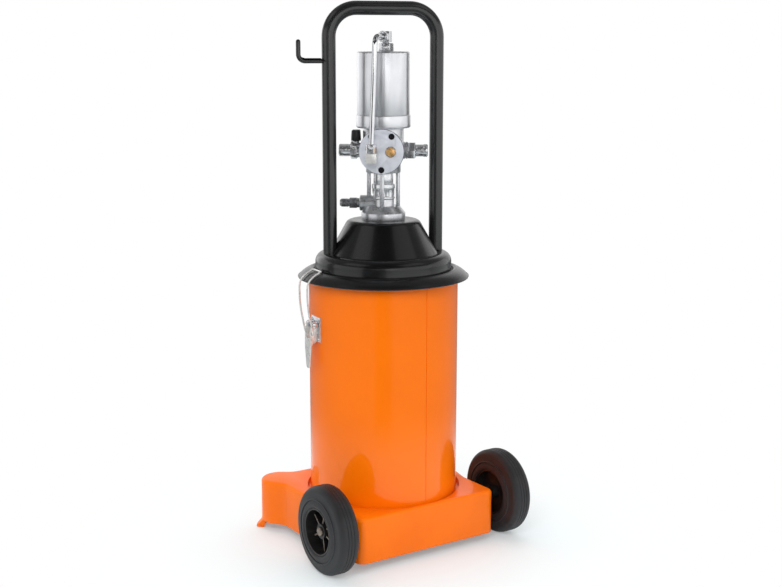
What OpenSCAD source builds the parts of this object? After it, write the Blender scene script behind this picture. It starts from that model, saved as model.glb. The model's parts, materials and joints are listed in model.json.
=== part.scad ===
// Pneumatic grease pump: drum with latched lid and push handle on a two-wheel base,
// air motor on the lid, suction tube and follower plate inside.
// Units are mm and +Z is up. The axle runs along X, the rear feet point to +Y.

/* [Base] */
// Width of the base between the wheels
base_front_w = 250; // [246:1:254]
// Width of the base behind the wheels
base_rear_w = 272; // [266:1:278]
// Front wall, from the drum axis
base_front = 127; // [127:1:132]
// Rear wall, from the drum axis
base_rear = 127; // [127:1:130]
// Height of the skirt edge over the floor
skirt_gap = 14; // [10:1:18]
// Wall thickness of the moulding
base_wall = 4; // [3:0.5:5]
// Rounding of the top edge
base_edge = 5; // [4:0.5:5.5]
// Radius of a rear foot lobe
lobe_r = 30; // [28:1:32]
// Foot lobe centre, sideways
lobe_x = 125; // [122:1:128]
// Foot lobe centre, to the rear
lobe_y = 113; // [110:1:116]
// How far the foot lip flares past its lobe
foot_flare = 9; // [6:1:11]
// Width of a foot lip on the floor
foot_w = 24; // [18:1:30]
// Depth of the drum recess
recess_depth = 8.5; // [6:0.5:12]
// Gap between drum and recess wall
recess_gap = 5.5; // [4:0.5:6]
// Thickness of the recess floor
floor_t = 2.4; // [2:0.2:4]
// Room between axle and recess floor
axle_room = 0.6; // [0.4:0.1:3]

/* [Wheels] */
// Outside diameter of the tyre
wheel_d = 133; // [125:1:140]
// Width of the tyre
tyre_w = 33; // [28:1:36]
// Rounding of the tyre shoulder
tyre_edge = 9.5; // [6:0.5:12]
// Inside diameter of the tyre
rim_d = 72; // [66:1:78]
// Diameter of the wheel hub
hub_d = 22; // [18:1:26]
// Number of ribs on the wheel disc
rib_count = 6; // [5:1:8]
// Bulge of the tyre side walls around the rim
tyre_bulge = 4; // [2:0.5:5]
// Length of the spacer between base and wheel
spacer_len = 15.1; // [13:0.1:18]
// Axle position in front of the drum axis
axle_ahead = 92.8; // [90:0.2:94]
// Diameter of the axle rod
axle_d = 10; // [8:0.5:12]
// Running clearance of a wheel on the axle, radial
axle_fit = 0.08; // [0.04:0.01:0.1]
// Side play between wheel and its neighbours
wheel_play = 0.4; // [0.3:0.1:0.8]

/* [Drum and lid] */
// Outside diameter of the drum
drum_d = 230; // [228:0.5:231]
// Height of the drum
drum_h = 346.4; // [330:0.1:380]
// Sheet thickness of the drum
drum_t = 1.2; // [1:0.1:1.6]
// Radius of the curled drum rim
curl_r = 2.6; // [2.2:0.1:3]
// Width of the seam groove
seam_w = 1.6; // [1:0.1:2.4]
// Turn of drum, lid and handle about the drum axis
drum_turn = -18; // [-24:1:-12]
// Sheet thickness of the lid
lid_t = 1.6; // [1.2:0.1:2]
// Outside radius of the lid brim
brim_r = 132; // [131:0.5:134]
// Outside radius of the round bead
bead_r = 104.7; // [104:0.1:105.5]
// Rounding of the bead
bead_edge = 14; // [12:0.5:14.5]
// Radius at the foot of the dome
dome_r = 83; // [81:0.5:83.5]
// Radius of the flat dome top
dome_flat_r = 49; // [47:0.5:51]
// Height of the dome over its foot
dome_h = 50.5; // [48:0.5:54]
// Free height for the lid gasket
gasket_h = 3; // [2.5:0.1:3.5]

/* [Handle] */
// Outside diameter of the handle tube
tube_d = 21; // [19:0.1:22]
// Wall thickness of the handle tube
tube_t = 1.6; // [1.2:0.1:2.4]
// Distance of a handle leg from the drum axis
leg_r = 84; // [82:0.5:88]
// Height of the handle over the dome top
handle_h = 327; // [310:1:340]
// Centre-line radius of the handle bends
bend_r = 42.5; // [36:0.5:48]
// Diameter of the hose hook rod
hook_d = 7; // [6:0.5:8]
// Height of the hook bar over the dome top
hook_z = 239; // [220:1:250]
// Reach of the hook from the leg axis
hook_reach = 46; // [40:1:55]
// Rise of the hook tip
hook_rise = 28; // [22:1:34]

/* [Latches] */
// Turn of the latches from the axle direction
latch_turn = -6; // [-14:1:4]
// Pivot of the latch lever, out from the drum wall
pivot_out = 7; // [6.6:0.1:7.6]
// Pivot of the latch lever, below the drum rim
pivot_drop = 69; // [66:1:76]
// Bail pivot below the lever pivot
bail_drop = 14; // [12:0.5:16]
// Bail pivot, out from the lever pivot
bail_out = 3.5; // [3:0.1:4]
// Length of the lever below its pivot
lever_len = 67; // [60:1:75]
// Half width of the lever over its cheeks
lever_half = 10; // [9.8:0.1:10.4]
// Sheet thickness of the latch
latch_t = 1.6; // [1.4:0.1:1.8]
// Diameter of the bail wire
wire_d = 2.8; // [2.4:0.1:3]
// Clear gap between bail and lid
bail_gap = 0.6; // [0.4:0.1:1]

/* [Pump stand] */
// Turn of the pump about the drum axis
pump_turn = -38; // [-44:1:-32]
// Radius of the pump flange
flange_r = 33.5; // [31:0.5:36]
// Height of the flange edge
flange_h = 12; // [10:0.5:14]
// Height of the cone on the flange
cone_h = 9; // [8:0.5:11]
// Radius of the neck on the flange
neck_r = 16.5; // [15.5:0.5:17]
// Height of the neck
neck_h = 11; // [9:0.5:13]
// Radius of the slotted gland nut
gland_r = 17.5; // [17:0.1:18]
// Height of the gland nut
gland_h = 22.5; // [20:0.5:25]
// Number of windows in the gland nut
window_count = 8; // [6:1:10]
// Free length of tube over the gland nut
column_h = 17.5; // [14:0.5:22]
// Radius of the tie-rod circle
rod_circle_r = 22.2; // [22:0.1:22.6]
// Diameter of a tie rod
rod_dia = 6.2; // [5:0.1:6.4]
// Outlet axis over the dome top
outlet_z = 25; // [24:0.5:26]
// Outer end of the outlet thread
outlet_end = 66.6; // [62:0.2:72]
// Diameter of the outlet thread
outlet_d = 13.2; // [12.6:0.2:13.8]

/* [Valve block] */
// Radius of the valve housing
housing_r = 31; // [30:0.2:32]
// Height of the valve housing
housing_h = 67.7; // [66:0.1:70]
// Radius of the round valve cover
cover_r = 33.3; // [32.5:0.1:33.5]
// Thickness of the valve cover
cover_t = 4.8; // [4.2:0.1:6]
// Front of the housing, from the pump axis
housing_front = 34.6; // [34:0.1:37]
// Thickness of the cover gasket
gasket_t = 1; // [0.8:0.1:1.4]
// Radius of the cover screw circle
screw_circle_r = 27.2; // [26.5:0.1:27.5]
// Sideways place of elbow and plug on the cover
port_x = 14.2; // [13.8:0.1:15]
// Length of the side ports of the housing
port_len = 33.2; // [33.2:0.1:34]
// Outer end of the air inlet nipple
inlet_end = 67.8; // [64:0.2:72]
// Diameter of the air inlet nipple
inlet_d = 18.8; // [17:0.1:20]
// Outer end of the silencer
silencer_end = 67.3; // [64:0.1:72]
// Diameter of the silencer
silencer_d = 19.4; // [17:0.1:20.4]

/* [Air cylinder] */
// Radius of the cylinder base
collar_r = 41.2; // [41:0.1:41.6]
// Height of the cylinder base
collar_h = 19.3; // [18:0.1:21]
// Radius of the cylinder can
can_r = 39.6; // [39:0.1:39.8]
// Height of the can over its base
can_h = 94; // [92:0.5:110]
// Wall thickness of the can
can_t = 2.5; // [2:0.1:3]
// Diameter of the piston rod
rod_d = 11; // [10:0.1:11.4]
// Running clearance of rod and seals, radial
run_fit = 0.06; // [0.03:0.01:0.1]
// Free clearance of parts that move past each other
free_gap = 0.4; // [0.3:0.05:0.6]
// Diameter of the outside air pipe
pipe_d = 8; // [7:0.1:8.4]
// Distance of the air pipe in front of the pump axis
pipe_front = 51; // [50:0.1:53]
// Bend radius of the air pipe
pipe_bend = 12; // [10:0.5:14]

/* [Suction end] */
// Outside radius of the suction tube
tube_r = 16; // [15:0.1:16.4]
// Wall thickness of the suction tube
suction_t = 2.5; // [2:0.1:3]
// Gap between foot valve and drum floor
foot_gap = 4.5; // [3:0.5:8]
// Height of the foot valve
foot_valve_h = 18; // [16:0.5:24]
// Rest height of the follower plate over the drum floor
follower_rest = 30; // [28:1:40]
// Width of the rubber lip between follower plate and drum wall
follower_lip = 6.8; // [5.8:0.1:9.8]

/* [Hidden] */
$fn = 64;

// Heights of the base and drum, stacked from the axle
axle_z = wheel_d / 2;
floor_under = axle_z + axle_d / 2 + axle_room;
drum_z = floor_under + floor_t;
base_top = drum_z + recess_depth;
drum_r = drum_d / 2;
well_r = drum_r + recess_gap;
rim_z = drum_z + drum_h;
// Rear reach of the foot lips sets the middle of the whole part
foot_reach = lobe_r + foot_flare;
axis_y = (axle_ahead + wheel_d / 2 - lobe_y - foot_reach * sin(45) - foot_w / 2 * sin(45)) / 2;
// Wheel side faces, stacked outwards from the base wall
hub_in = base_front_w / 2 + spacer_len + wheel_play;
track = 2 * (hub_in + tyre_w / 2 + 2);
rim_lip = tyre_w / 2 + tyre_bulge - 1.5;
hub_out = track / 2 + 12.5;

// Lid outline, from the gasket up
crest_r = 111.3;
crest_edge = 4;
gasket_z = rim_z + curl_r;
crest_z = gasket_z + gasket_h + lid_t + 3.4;
brim_arc_r = 38;
brim_c = [brim_r - 0.4 - brim_arc_r * cos(38), crest_z - crest_edge + crest_edge * sin(75)
    - brim_arc_r * sin(75)];
bead_z = crest_z + 24;
dome_z = bead_z - 1;
lid_top = dome_z + dome_h;
leg_top = lid_top + handle_h - tube_d / 2;

// Pump levels, over the lid top
deck_z = flange_h + cone_h;
neck_z = deck_z + neck_h;
gland_z = neck_z + gland_h;
valve_z = gland_z + column_h;
port_z = valve_z + 33.5;
cover_z = valve_z + housing_h / 2;
collar_z = valve_z + housing_h;
can_z = collar_z + collar_h;
can_top = can_z + can_h;
elbow_z = can_top + 21.5;
cover_back = housing_front + gasket_t;
cover_front = cover_back + cover_t;
rod_r = rod_d / 2;
piston_floor = collar_z + 6;
can_bore = can_r - can_t;
stem_x = 41.5;
elbow_low_z = cover_z - 9;
elbow_at = [4, 1];
pipe_top = [-8.5, -pipe_front];
pipe_low_z = elbow_low_z + 15.2;
arm = (elbow_at - pipe_top) / norm(elbow_at - pipe_top);
arm_len = norm(elbow_at - pipe_top);
arm_turn = atan2(arm.y, arm.x);
// Suction levels, from the lid top downwards
foot_z = drum_z + drum_t + foot_gap - lid_top;
tube_end = foot_z + foot_valve_h;
plunger_z = tube_end + 24;
follower_r = drum_r - drum_t - follower_lip;

// Latch points as distance from the drum axis and height
pivot = [drum_r + pivot_out, rim_z - pivot_drop];
bail_pivot = [pivot.x + bail_out, pivot.y - bail_drop];
wire_y = lever_half + 4.2;
wire_r = wire_d / 2;

function unit(v) = v / norm(v);
function cross2(a, b) = a.x * b.y - a.y * b.x;
function flip(p) = [for (i = [len(p) - 1:-1:0]) p[i]];
function arc(c, r, a, b, n) =
    [for (i = [0:n]) c + r * [cos(a + (b - a) * i / n), sin(a + (b - a) * i / n)]];

// Right-hand normal of a path leg, and a path moved sideways by t
function leg_normal(p, q) = let (d = unit(q - p)) [d.y, -d.x];
function beside(p, t) = [for (i = [0:len(p) - 1])
    let (n0 = leg_normal(p[max(i - 1, 0)], p[max(i, 1)]),
        n1 = leg_normal(p[min(i, len(p) - 2)], p[min(i + 1, len(p) - 1)]),
        m = unit(n0 + n1))
    p[i] + m * t / (m * n0)];
function sheet(p, t) = concat(p, flip(beside(p, t)));

// A rounded corner as centre, radius, start angle, sweep and side (1 outer, -1 inner)
function corner(a, p, b, r) = let (u = unit(a - p), v = unit(b - p), h = acos(u * v) / 2,
    c = p + unit(u + v) * r / sin(h), s = sign(cross2(p - a, b - p)),
    t = p + u * r / tan(h) - c)
    [c, r, atan2(t.y, t.x), s * (180 - 2 * h), s];
function corner_points(k, inset, n) =
    arc(k[0], k[1] - k[4] * inset, k[2], k[2] + k[3], n);

// Half outline of the base at a given inset: front corner, step, waist, lobe, rear waist
lobe_c = [lobe_x, lobe_y];
waist_dir = [sin(40), cos(40)];
waist_on = lobe_c + lobe_r * [cos(40), -sin(40)];
waist_at = waist_on - waist_dir * (waist_on.x - base_rear_w / 2) / waist_dir.x;
tail_dir = [-sin(125), cos(125)];
tail_on = lobe_c + lobe_r * [cos(125), sin(125)];
tail_at = tail_on + tail_dir * (base_rear - tail_on.y) / tail_dir.y;
step_a = [base_front_w / 2, -50];
step_b = [base_rear_w / 2, -4];
front_at = [base_front_w / 2, -base_front];
function half_outline(inset) = concat(
    corner_points(corner([0, -base_front], front_at, step_a, 12), inset, 5),
    corner_points(corner(front_at, step_a, step_b, 45), inset, 3),
    corner_points(corner(step_a, step_b, waist_at, 45), inset, 3),
    corner_points(corner(step_b, waist_at, waist_on, 26), inset, 4),
    arc(lobe_c, lobe_r - inset, -40, 125, 14),
    corner_points(corner(tail_on, tail_at, [0, base_rear], 30), inset, 4));
function outline(inset) = let (h = half_outline(inset))
    concat(h, flip([for (p = h) [-p.x, p.y]]));

// Lid top surface from the pump hole out to the brim edge
shoulder = atan2(dome_r - dome_flat_r - 9.3, dome_h - 8);
lid_path = concat(
    [[tube_r + 0.4, lid_top]],
    arc([dome_flat_r, lid_top - 10], 10, 90, shoulder, 6),
    arc([dome_r + 1.6, dome_z + 1.6], 2.4, 180 + shoulder, 292, 4),
    arc([bead_r - bead_edge - 3, bead_z - 3], 3, 112, 90, 2),
    arc([bead_r - bead_edge, bead_z - bead_edge], bead_edge, 90, 0, 9),
    [[bead_r, crest_z - 3]],
    [[bead_r + 1.8, crest_z - 5.2]],
    arc([crest_r, crest_z - crest_edge], crest_edge, 150, 75, 5),
    arc(brim_c, brim_arc_r, 73, 41, 6),
    [[brim_r, crest_z - 12.8]]);
lid_under = beside(lid_path, lid_t);

// Solid through stacked outlines, each given as points and a height
module loft(rings) {
    n = len(rings[0][0]);
    m = len(rings);
    skin = [for (k = [0:m - 2]) for (i = [0:n - 1]) let (j = (i + 1) % n)
        [k * n + i, (k + 1) * n + i, (k + 1) * n + j, k * n + j]];
    polyhedron(
        points = [for (r = rings) for (p = r[0]) [p.x, p.y, r[1]]],
        faces = concat([[for (i = [0:n - 1]) i]],
            [[for (i = [n - 1:-1:0]) (m - 1) * n + i]], skin));
}

// Round wire along a list of points in space, with k sides
module wire(path, r, k) {
    n = len(path);
    lean = [1, 0.6, 0.9];
    rings = [for (i = [0:n - 1])
        let (t = unit(path[min(i + 1, n - 1)] - path[max(i - 1, 0)]),
            u = unit(cross(t, lean)), v = cross(t, u))
        for (j = [0:k - 1]) path[i] + r * (u * cos(360 * j / k) + v * sin(360 * j / k))];
    skin = [for (i = [0:n - 2]) for (j = [0:k - 1]) let (q = (j + 1) % k)
        each [[i * k + j, (i + 1) * k + j, (i + 1) * k + q],
            [i * k + j, (i + 1) * k + q, i * k + q]]];
    polyhedron(points = rings, faces = concat([[for (j = [0:k - 1]) j]],
        [[for (j = [k - 1:-1:0]) (n - 1) * k + j]], skin));
}

// Hexagon bar along Z, given across its flats
module hex_bar(flats, h) {
    cylinder(h = h, r = flats / 2 / cos(30), $fn = 6);
}

// Hexagon with chamfered corners on both ends
module hex_nut(flats, h) {
    intersection() {
        hex_bar(flats, h);
        rotate_extrude()
            polygon([[0, 0], [flats / 2 + 0.3, 0], [flats / 2 / cos(30), 1.2],
                [flats / 2 / cos(30), h - 1.2], [flats / 2 + 0.3, h], [0, h]]);
    }
}

// Places of the sub-assemblies
module at_axis() {
    translate([0, axis_y, 0]) children();
}
module drum_frame() {
    at_axis() rotate([0, 0, drum_turn]) children();
}
module pump_frame() {
    at_axis() translate([0, 0, lid_top]) rotate([0, 0, pump_turn]) children();
}
module wheel_frame(side) {
    at_axis() translate([side * track / 2, -axle_ahead, axle_z])
        rotate([0, side * 90, 0]) children();
}
module latch_frame(side) {
    at_axis() rotate([0, 0, side < 0 ? 180 + latch_turn : -latch_turn]) children();
}
module along_x(side) {
    rotate([0, side * 90, 0]) children();
}
module along_front() {
    rotate([90, 0, 0]) children();
}

// One flared foot lip under a lobe, standing on the floor
module foot_lip() {
    intersection() {
        translate([lobe_x, lobe_y, 0])
            rotate([0, 0, -10])
                rotate_extrude(angle = 110)
                    polygon(concat([[lobe_r - base_wall + 1, skirt_gap + 6],
                        [lobe_r - base_wall + 1, 2]], arc([lobe_r - base_wall + 3, 2], 2, 180, 270, 3),
                        arc([foot_reach - 2.5, 2.5], 2.5, 270, 400, 6),
                        arc([foot_reach + 2.8, skirt_gap + 4], foot_flare + 2.6, 220, 180, 5),
                        [[lobe_r - 1.2, skirt_gap + 6]]));
        translate([lobe_x, lobe_y, 0])
            rotate([90, 0, 135])
                linear_extrude(height = 60)
                    polygon([[-foot_w / 2, -1], [foot_w / 2, -1], [foot_w / 2 + 6, skirt_gap],
                        [foot_w / 2 + 9, skirt_gap + 17], [-foot_w / 2 - 9, skirt_gap + 17],
                        [-foot_w / 2 - 6, skirt_gap]]);
    }
}

module base_shell() color("darkorange") at_axis() {
    round_steps = [for (a = [0:22.5:90])
        [outline(base_edge * (1 - cos(a))), base_top - base_edge * (1 - sin(a))]];
    difference() {
        union() {
            difference() {
                intersection() {
                    loft(concat([[outline(0), 0]], round_steps, [[outline(base_edge), base_top + 4]]));
                    translate([-200, -200, skirt_gap]) cube([400, 400, base_top - skirt_gap]);
                }
                translate([0, 0, skirt_gap - 1])
                    linear_extrude(height = base_top - base_wall - skirt_gap + 1)
                        polygon(outline(base_wall));
            }
            foot_lip();
            mirror([1, 0, 0]) foot_lip();
            difference() {
                translate([0, 0, floor_under])
                    cylinder(h = base_top - base_wall / 2 - floor_under, r = well_r + 3.3);
                translate([0, 0, floor_under - 1]) cylinder(h = floor_t + 2, r = 58);
            }
            for (x = [-66, 66])
                translate([x - 2, -base_front + 2, skirt_gap + 6])
                    cube([4, base_front + base_rear - 4, floor_under + 1 - skirt_gap - 6]);
        }
        translate([0, 0, drum_z]) cylinder(h = recess_depth + 5, r = well_r);
        translate([-base_rear_w, -axle_ahead, axle_z])
            along_x(1) cylinder(h = 2 * base_rear_w, r = axle_d / 2 + 0.05);
    }
}

module axle() color("silver") at_axis() {
    translate([-hub_out - 3, -axle_ahead, axle_z])
        along_x(1) rotate_extrude()
            polygon([[0, 0], [axle_d / 2 - 0.8, 0], [axle_d / 2, 0.8],
                [axle_d / 2, 2 * hub_out + 5.2], [axle_d / 2 - 0.8, 2 * hub_out + 6],
                [0, 2 * hub_out + 6]]);
}

module axle_spacers() color("dimgray") {
    for (side = [-1, 1])
        at_axis() translate([side * base_front_w / 2, -axle_ahead, axle_z])
            along_x(side)
                difference() {
                    cylinder(h = spacer_len, r = axle_d / 2 + 3.5);
                    translate([0, 0, -1]) cylinder(h = spacer_len + 2, r = axle_d / 2 + 0.05);
                }
}

module axle_caps() color("gainsboro") {
    for (side = [-1, 1])
        at_axis() translate([side * (hub_out + wheel_play), -axle_ahead, axle_z])
            along_x(side) rotate_extrude()
                polygon([[axle_d / 2 + 0.05, 0], [axle_d / 2 + 2.2, 0], [axle_d / 2 + 2.2, 0.8],
                    [axle_d / 2 + 1.4, 2.6], [axle_d / 2 - 1, 3.8], [0, 4.2],
                    [0, 3 - wheel_play], [axle_d / 2 + 0.05, 3 - wheel_play]]);
}

// Rim with a dished disc, ribs on the outer face and a long hub; +Z is the outer side
module wheel_rim(side) color("black") wheel_frame(side) {
    rim_r = rim_d / 2;
    difference() {
        union() {
            rotate_extrude()
                polygon([[rim_r - 3, 2 - rim_lip], [rim_r, 2 - rim_lip], [rim_r, rim_lip - 1],
                    [rim_r - 1.2, rim_lip], [rim_r - 3, rim_lip], [rim_r - 3.6, -1], [hub_d / 2 - 1, -3],
                    [hub_d / 2 - 1, -6], [rim_r - 3, -5]]);
            translate([0, 0, hub_in - track / 2])
                cylinder(h = hub_out - hub_in, r = hub_d / 2);
            for (i = [0:rib_count - 1])
                rotate([90, 0, 360 * i / rib_count])
                    translate([0, 0, -1.1])
                        linear_extrude(height = 2.2)
                            polygon([[hub_d / 2 - 2, -4], [rim_r - 2, -4],
                                [rim_r - 2, 6], [hub_d / 2 - 2, 9]]);
        }
        translate([0, 0, -40]) cylinder(h = 80, r = axle_d / 2 + axle_fit);
        translate([0, 0, hub_out - track / 2 - 1.2])
            cylinder(h = 2, r1 = axle_d / 2, r2 = axle_d / 2 + 2);
    }
}

// Solid tyre with tread lines and a raised ring on each side wall
module tyre(side) color("dimgray") wheel_frame(side) {
    half = tyre_w / 2;
    outer = wheel_d / 2;
    ring = rim_d / 2 + 12;
    face = half + tyre_bulge;
    line = [for (z = [-5, 0, 5]) each [[outer, z - 0.5], [outer - 0.6, z - 0.3],
        [outer - 0.6, z + 0.3], [outer, z + 0.5]]];
    rotate_extrude()
        polygon(concat([[rim_d / 2, 2 - face], [rim_d / 2 + 2, 0.4 - face], [rim_d / 2 + 4, -face]],
            arc([ring, 0.6 - half - tyre_bulge / 2], 1.4, 180, 360, 4),
            arc([outer - tyre_edge, -half + tyre_edge], tyre_edge, 270, 360, 6), line,
            arc([outer - tyre_edge, half - tyre_edge], tyre_edge, 0, 90, 6),
            arc([ring, half + tyre_bulge / 2 - 0.6], 1.4, 0, 180, 4),
            [[rim_d / 2 + 4, face], [rim_d / 2 + 2, face - 0.4], [rim_d / 2, face - 2]]));
}

module drum() color("orange") drum_frame() translate([0, 0, drum_z]) {
    difference() {
        union() {
            rotate_extrude()
                polygon(concat(
                    [[0, 0]], arc([drum_r - 7, 7], 7, 270, 360, 5),
                    [[drum_r, drum_h]], [[drum_r - drum_t, drum_h]],
                    arc([drum_r - 7, 7], 7 - drum_t, 360, 270, 5), [[0, drum_t]]));
            rotate_extrude() translate([drum_r + 1.2, drum_h]) circle(r = curl_r);
        }
        rotate([0, 0, -drum_turn])
            translate([-seam_w / 2 + 1.2, -drum_r - 2, 8])
                cube([seam_w, 2.5, drum_h - 20]);
    }
}

module lid_gasket() color("black") drum_frame() {
    seat = [for (p = lid_under) if (p.x > crest_r - 4.2 && p.x < drum_r + 3.2) p];
    rotate_extrude()
        polygon(concat([[seat[len(seat) - 1].x, gasket_z], [seat[0].x, gasket_z]], seat));
}

module lid() color("black") drum_frame() {
    rotate_extrude() polygon(sheet(lid_path, lid_t));
}

// Bent handle bar of a given radius, standing on the bead
module handle_bar(r) {
    foot = bead_z - 14;
    for (s = [-1, 1]) {
        translate([s * leg_r, 0, foot]) cylinder(h = leg_top - bend_r - foot, r = r);
        translate([s * (leg_r - bend_r), 0, leg_top - bend_r])
            rotate([90, 0, 0])
                rotate([0, 0, s > 0 ? 0 : 90])
                    rotate_extrude(angle = 90) translate([bend_r, 0]) circle(r = r);
    }
    translate([bend_r - leg_r, 0, leg_top])
        along_x(1) cylinder(h = 2 * (leg_r - bend_r), r = r);
}

module handle() color("black") drum_frame() {
    difference() {
        handle_bar(tube_d / 2);
        handle_bar(tube_d / 2 - tube_t);
        rotate_extrude() polygon(concat([[0, lid_top]], lid_path, [[0, crest_z - 30]]));
    }
}

module hose_hook() color("black") drum_frame() {
    r = hook_d / 2;
    turn = 10;
    z = lid_top + hook_z;
    difference() {
        union() {
            translate([-leg_r, 0, z])
                along_x(-1) cylinder(h = hook_reach - turn, r = r);
            translate([-leg_r - hook_reach + turn, 0, z + turn])
                rotate([90, 0, 0]) rotate([0, 0, 180])
                    rotate_extrude(angle = 90) translate([turn, 0]) circle(r = r);
            translate([-leg_r - hook_reach, 0, z + turn])
                cylinder(h = hook_rise - turn, r = r);
            translate([-leg_r - hook_reach, 0, z + hook_rise]) sphere(r = r);
        }
        translate([-leg_r, 0, z - 20]) cylinder(h = 40, r = tube_d / 2);
    }
}

// Curved plate on the drum with two ears for the lever pivot
module latch_bracket(side) color("silver") latch_frame(side) {
    plate_top = pivot.y + 12;
    difference() {
        union() {
            rotate([0, 0, -8])
                rotate_extrude(angle = 16)
                    translate([drum_r, plate_top - 38]) square([latch_t, 38]);
            for (s = [-1, 1])
                translate([0, s * 6.3 + latch_t / 2, 0])
                    rotate([90, 0, 0])
                        linear_extrude(height = latch_t) {
                            translate(pivot) circle(r = 5);
                            translate([drum_r + 0.6, pivot.y - 5]) square([pivot_out - 0.6, 10]);
                        }
        }
        translate([pivot.x, 20, pivot.y])
            rotate([90, 0, 0]) cylinder(h = 40, r = 2.2 + 0.05);
    }
}

module latch_rivets() color("silver") {
    for (side = [-1, 1])
        latch_frame(side)
            for (a = [-5.6, 5.6], z = [pivot.y - 20, pivot.y + 6])
                rotate([0, 0, a]) translate([drum_r + latch_t, 0, z])
                    along_x(1) rotate_extrude()
                        polygon([[0, 0], [2.6, 0], [2.6, 0.4], [1.8, 1.2], [0, 1.5]]);
}

module latch_pin(side) color("silver") latch_frame(side) {
    head = lever_half + 0.3;
    translate([pivot.x, 0, pivot.y])
        rotate([90, 0, 0]) rotate_extrude()
            polygon([[0, -head - 1.8], [4, -head - 1.8], [5.2, -head - 1], [5.2, -head],
                [2.2, -head], [2.2, head], [5.2, head], [5.2, head + 1], [4, head + 1.8],
                [0, head + 1.8]]);
}

// Lever with two cheeks and a tapered grip that hangs close to the drum
module latch_lever(side) color("gainsboro") latch_frame(side) {
    low = pivot.y - lever_len;
    grip_r = pivot.x + 7.2;
    difference() {
        union() {
            for (s = [-1, 1])
                translate([0, s > 0 ? lever_half : latch_t - lever_half, 0])
                    rotate([90, 0, 0])
                        linear_extrude(height = latch_t) {
                            translate(pivot) circle(r = 4.8);
                            polygon([[pivot.x - 4.8, pivot.y], [pivot.x + 4.6, pivot.y + 1.2],
                                [grip_r, pivot.y - 8], [grip_r, pivot.y - 34],
                                [pivot.x + 2, pivot.y - 27], [pivot.x - 3, pivot.y - 22]]);
                            translate([pivot.x + 1, pivot.y - 23]) circle(r = 4.1);
                        }
            translate([grip_r - latch_t, 0, 0])
                rotate([90, 0, 90])
                    linear_extrude(height = latch_t) {
                        polygon([[-lever_half, pivot.y - 20], [lever_half, pivot.y - 20],
                            [lever_half, pivot.y - 36], [6, low + 6], [-6, low + 6],
                            [-lever_half, pivot.y - 36]]);
                        translate([0, low + 6]) circle(r = 6);
                    }
        }
        translate([pivot.x, 20, pivot.y])
            rotate([90, 0, 0]) cylinder(h = 40, r = 2.2 + run_fit);
        translate([bail_pivot.x, 20, bail_pivot.y])
            rotate([90, 0, 0]) cylinder(h = 40, r = wire_r + 0.35);
    }
}

// Wire bail from the lever cheeks up and over the brim, with its bar on the crest
module latch_bail(side) color("gainsboro") latch_frame(side) {
    over = brim_arc_r + wire_r + bail_gap;
    top = [crest_r, crest_z + wire_r + bail_gap];
    turn = 2.6;
    flank = concat(
        [[bail_pivot.x, bail_pivot.y], [bail_pivot.x + 1.1, bail_pivot.y + turn],
        [bail_pivot.x + 3.6, bail_pivot.y + 14], [bail_pivot.x + 7.6, bail_pivot.y + 34],
        [bail_pivot.x + 9.6, bail_pivot.y + 52], [bail_pivot.x + 10, bail_pivot.y + 70],
        [brim_r + wire_r + 1.4, crest_z - 16]],
        arc(brim_c, over, 41, 66, 5),
        [[top.x + turn, top.y]], [top]);
    last = len(flank) - 1;
    inner = lever_half - 2.2;
    half_run = concat(
        [[flank[0].x, inner, flank[0].y], [flank[0].x, wire_y - turn, flank[0].y],
        [flank[0].x + 0.2, wire_y - 0.7, flank[0].y + 0.7]],
        [for (i = [1:last - 1]) [flank[i].x, wire_y, flank[i].y]],
        [[top.x + 0.7, wire_y - 0.7, top.y], [top.x, wire_y - turn, top.y]]);
    wire(concat(half_run, flip([for (p = half_run) [p.x, -p.y, p.z]])), wire_r, 10);
}

// Lower end of a tie rod: the one over the outlet boss ends above its bore
function rod_foot(a) = a == 180 ? outlet_z + 8 : deck_z - 7.5;

// Flange casting with cone, neck and outlet boss
module outlet_body() color("silver") pump_frame() {
    difference() {
        union() {
            rotate_extrude()
                polygon([[0, 0], [flange_r, 0], [flange_r, flange_h - 1], [flange_r - 1, flange_h],
                    [rod_circle_r + 3.4, deck_z - 0.6], [rod_circle_r + 2.8, deck_z],
                    [neck_r, deck_z], [neck_r, neck_z - 0.8], [neck_r - 0.8, neck_z],
                    [0, neck_z]]);
            translate([0, 0, outlet_z]) along_x(-1) rotate_extrude()
                polygon([[0, 0], [12, 0], [12, 34.8], [10.8, 36], [0, 36]]);
        }
        translate([0, 0, -1]) cylinder(h = 10, r = tube_r + 0.05);
        cylinder(h = neck_z + 1, r = rod_r + 3);
        translate([0, 0, neck_z]) cylinder(h = 20, r = gland_r + 0.3);
        translate([0, 0, outlet_z]) along_x(-1) {
            cylinder(h = 40, r = 3);
            translate([0, 0, 24]) cylinder(h = 20, r = 5.05);
        }
        for (a = [0:90:270])
            rotate([0, 0, a]) translate([rod_circle_r, 0, rod_foot(a) - 0.5])
                cylinder(h = 20, r = rod_dia / 2 + 0.05);
    }
}

module clamp_nut() color("silver") pump_frame() {
    difference() {
        translate([0, 0, -lid_t - 9]) hex_nut(50, 9);
        translate([0, 0, -30]) cylinder(h = 60, r = tube_r + 0.05);
    }
}

module outlet_adapter() color("dimgray") pump_frame() {
    translate([0, 0, outlet_z]) along_x(-1)
        difference() {
            union() {
                translate([0, 0, 24.4]) cylinder(h = 12, r = 5);
                translate([0, 0, 36]) cylinder(h = 4.2, r = 7.2);
                translate([0, 0, 40]) hex_nut(15.2, 12);
                translate([0, 0, 51.8]) rotate_extrude()
                    polygon([[0, 0], [5.6, 0], [5.6, 1.6], [outlet_d / 2, 2.4],
                        [outlet_d / 2, outlet_end - 55], [outlet_d / 2 - 2.2, outlet_end - 51.8],
                        [0, outlet_end - 51.8]]);
            }
            translate([0, 0, 20]) cylinder(h = 60, r = 3);
        }
}

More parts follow.
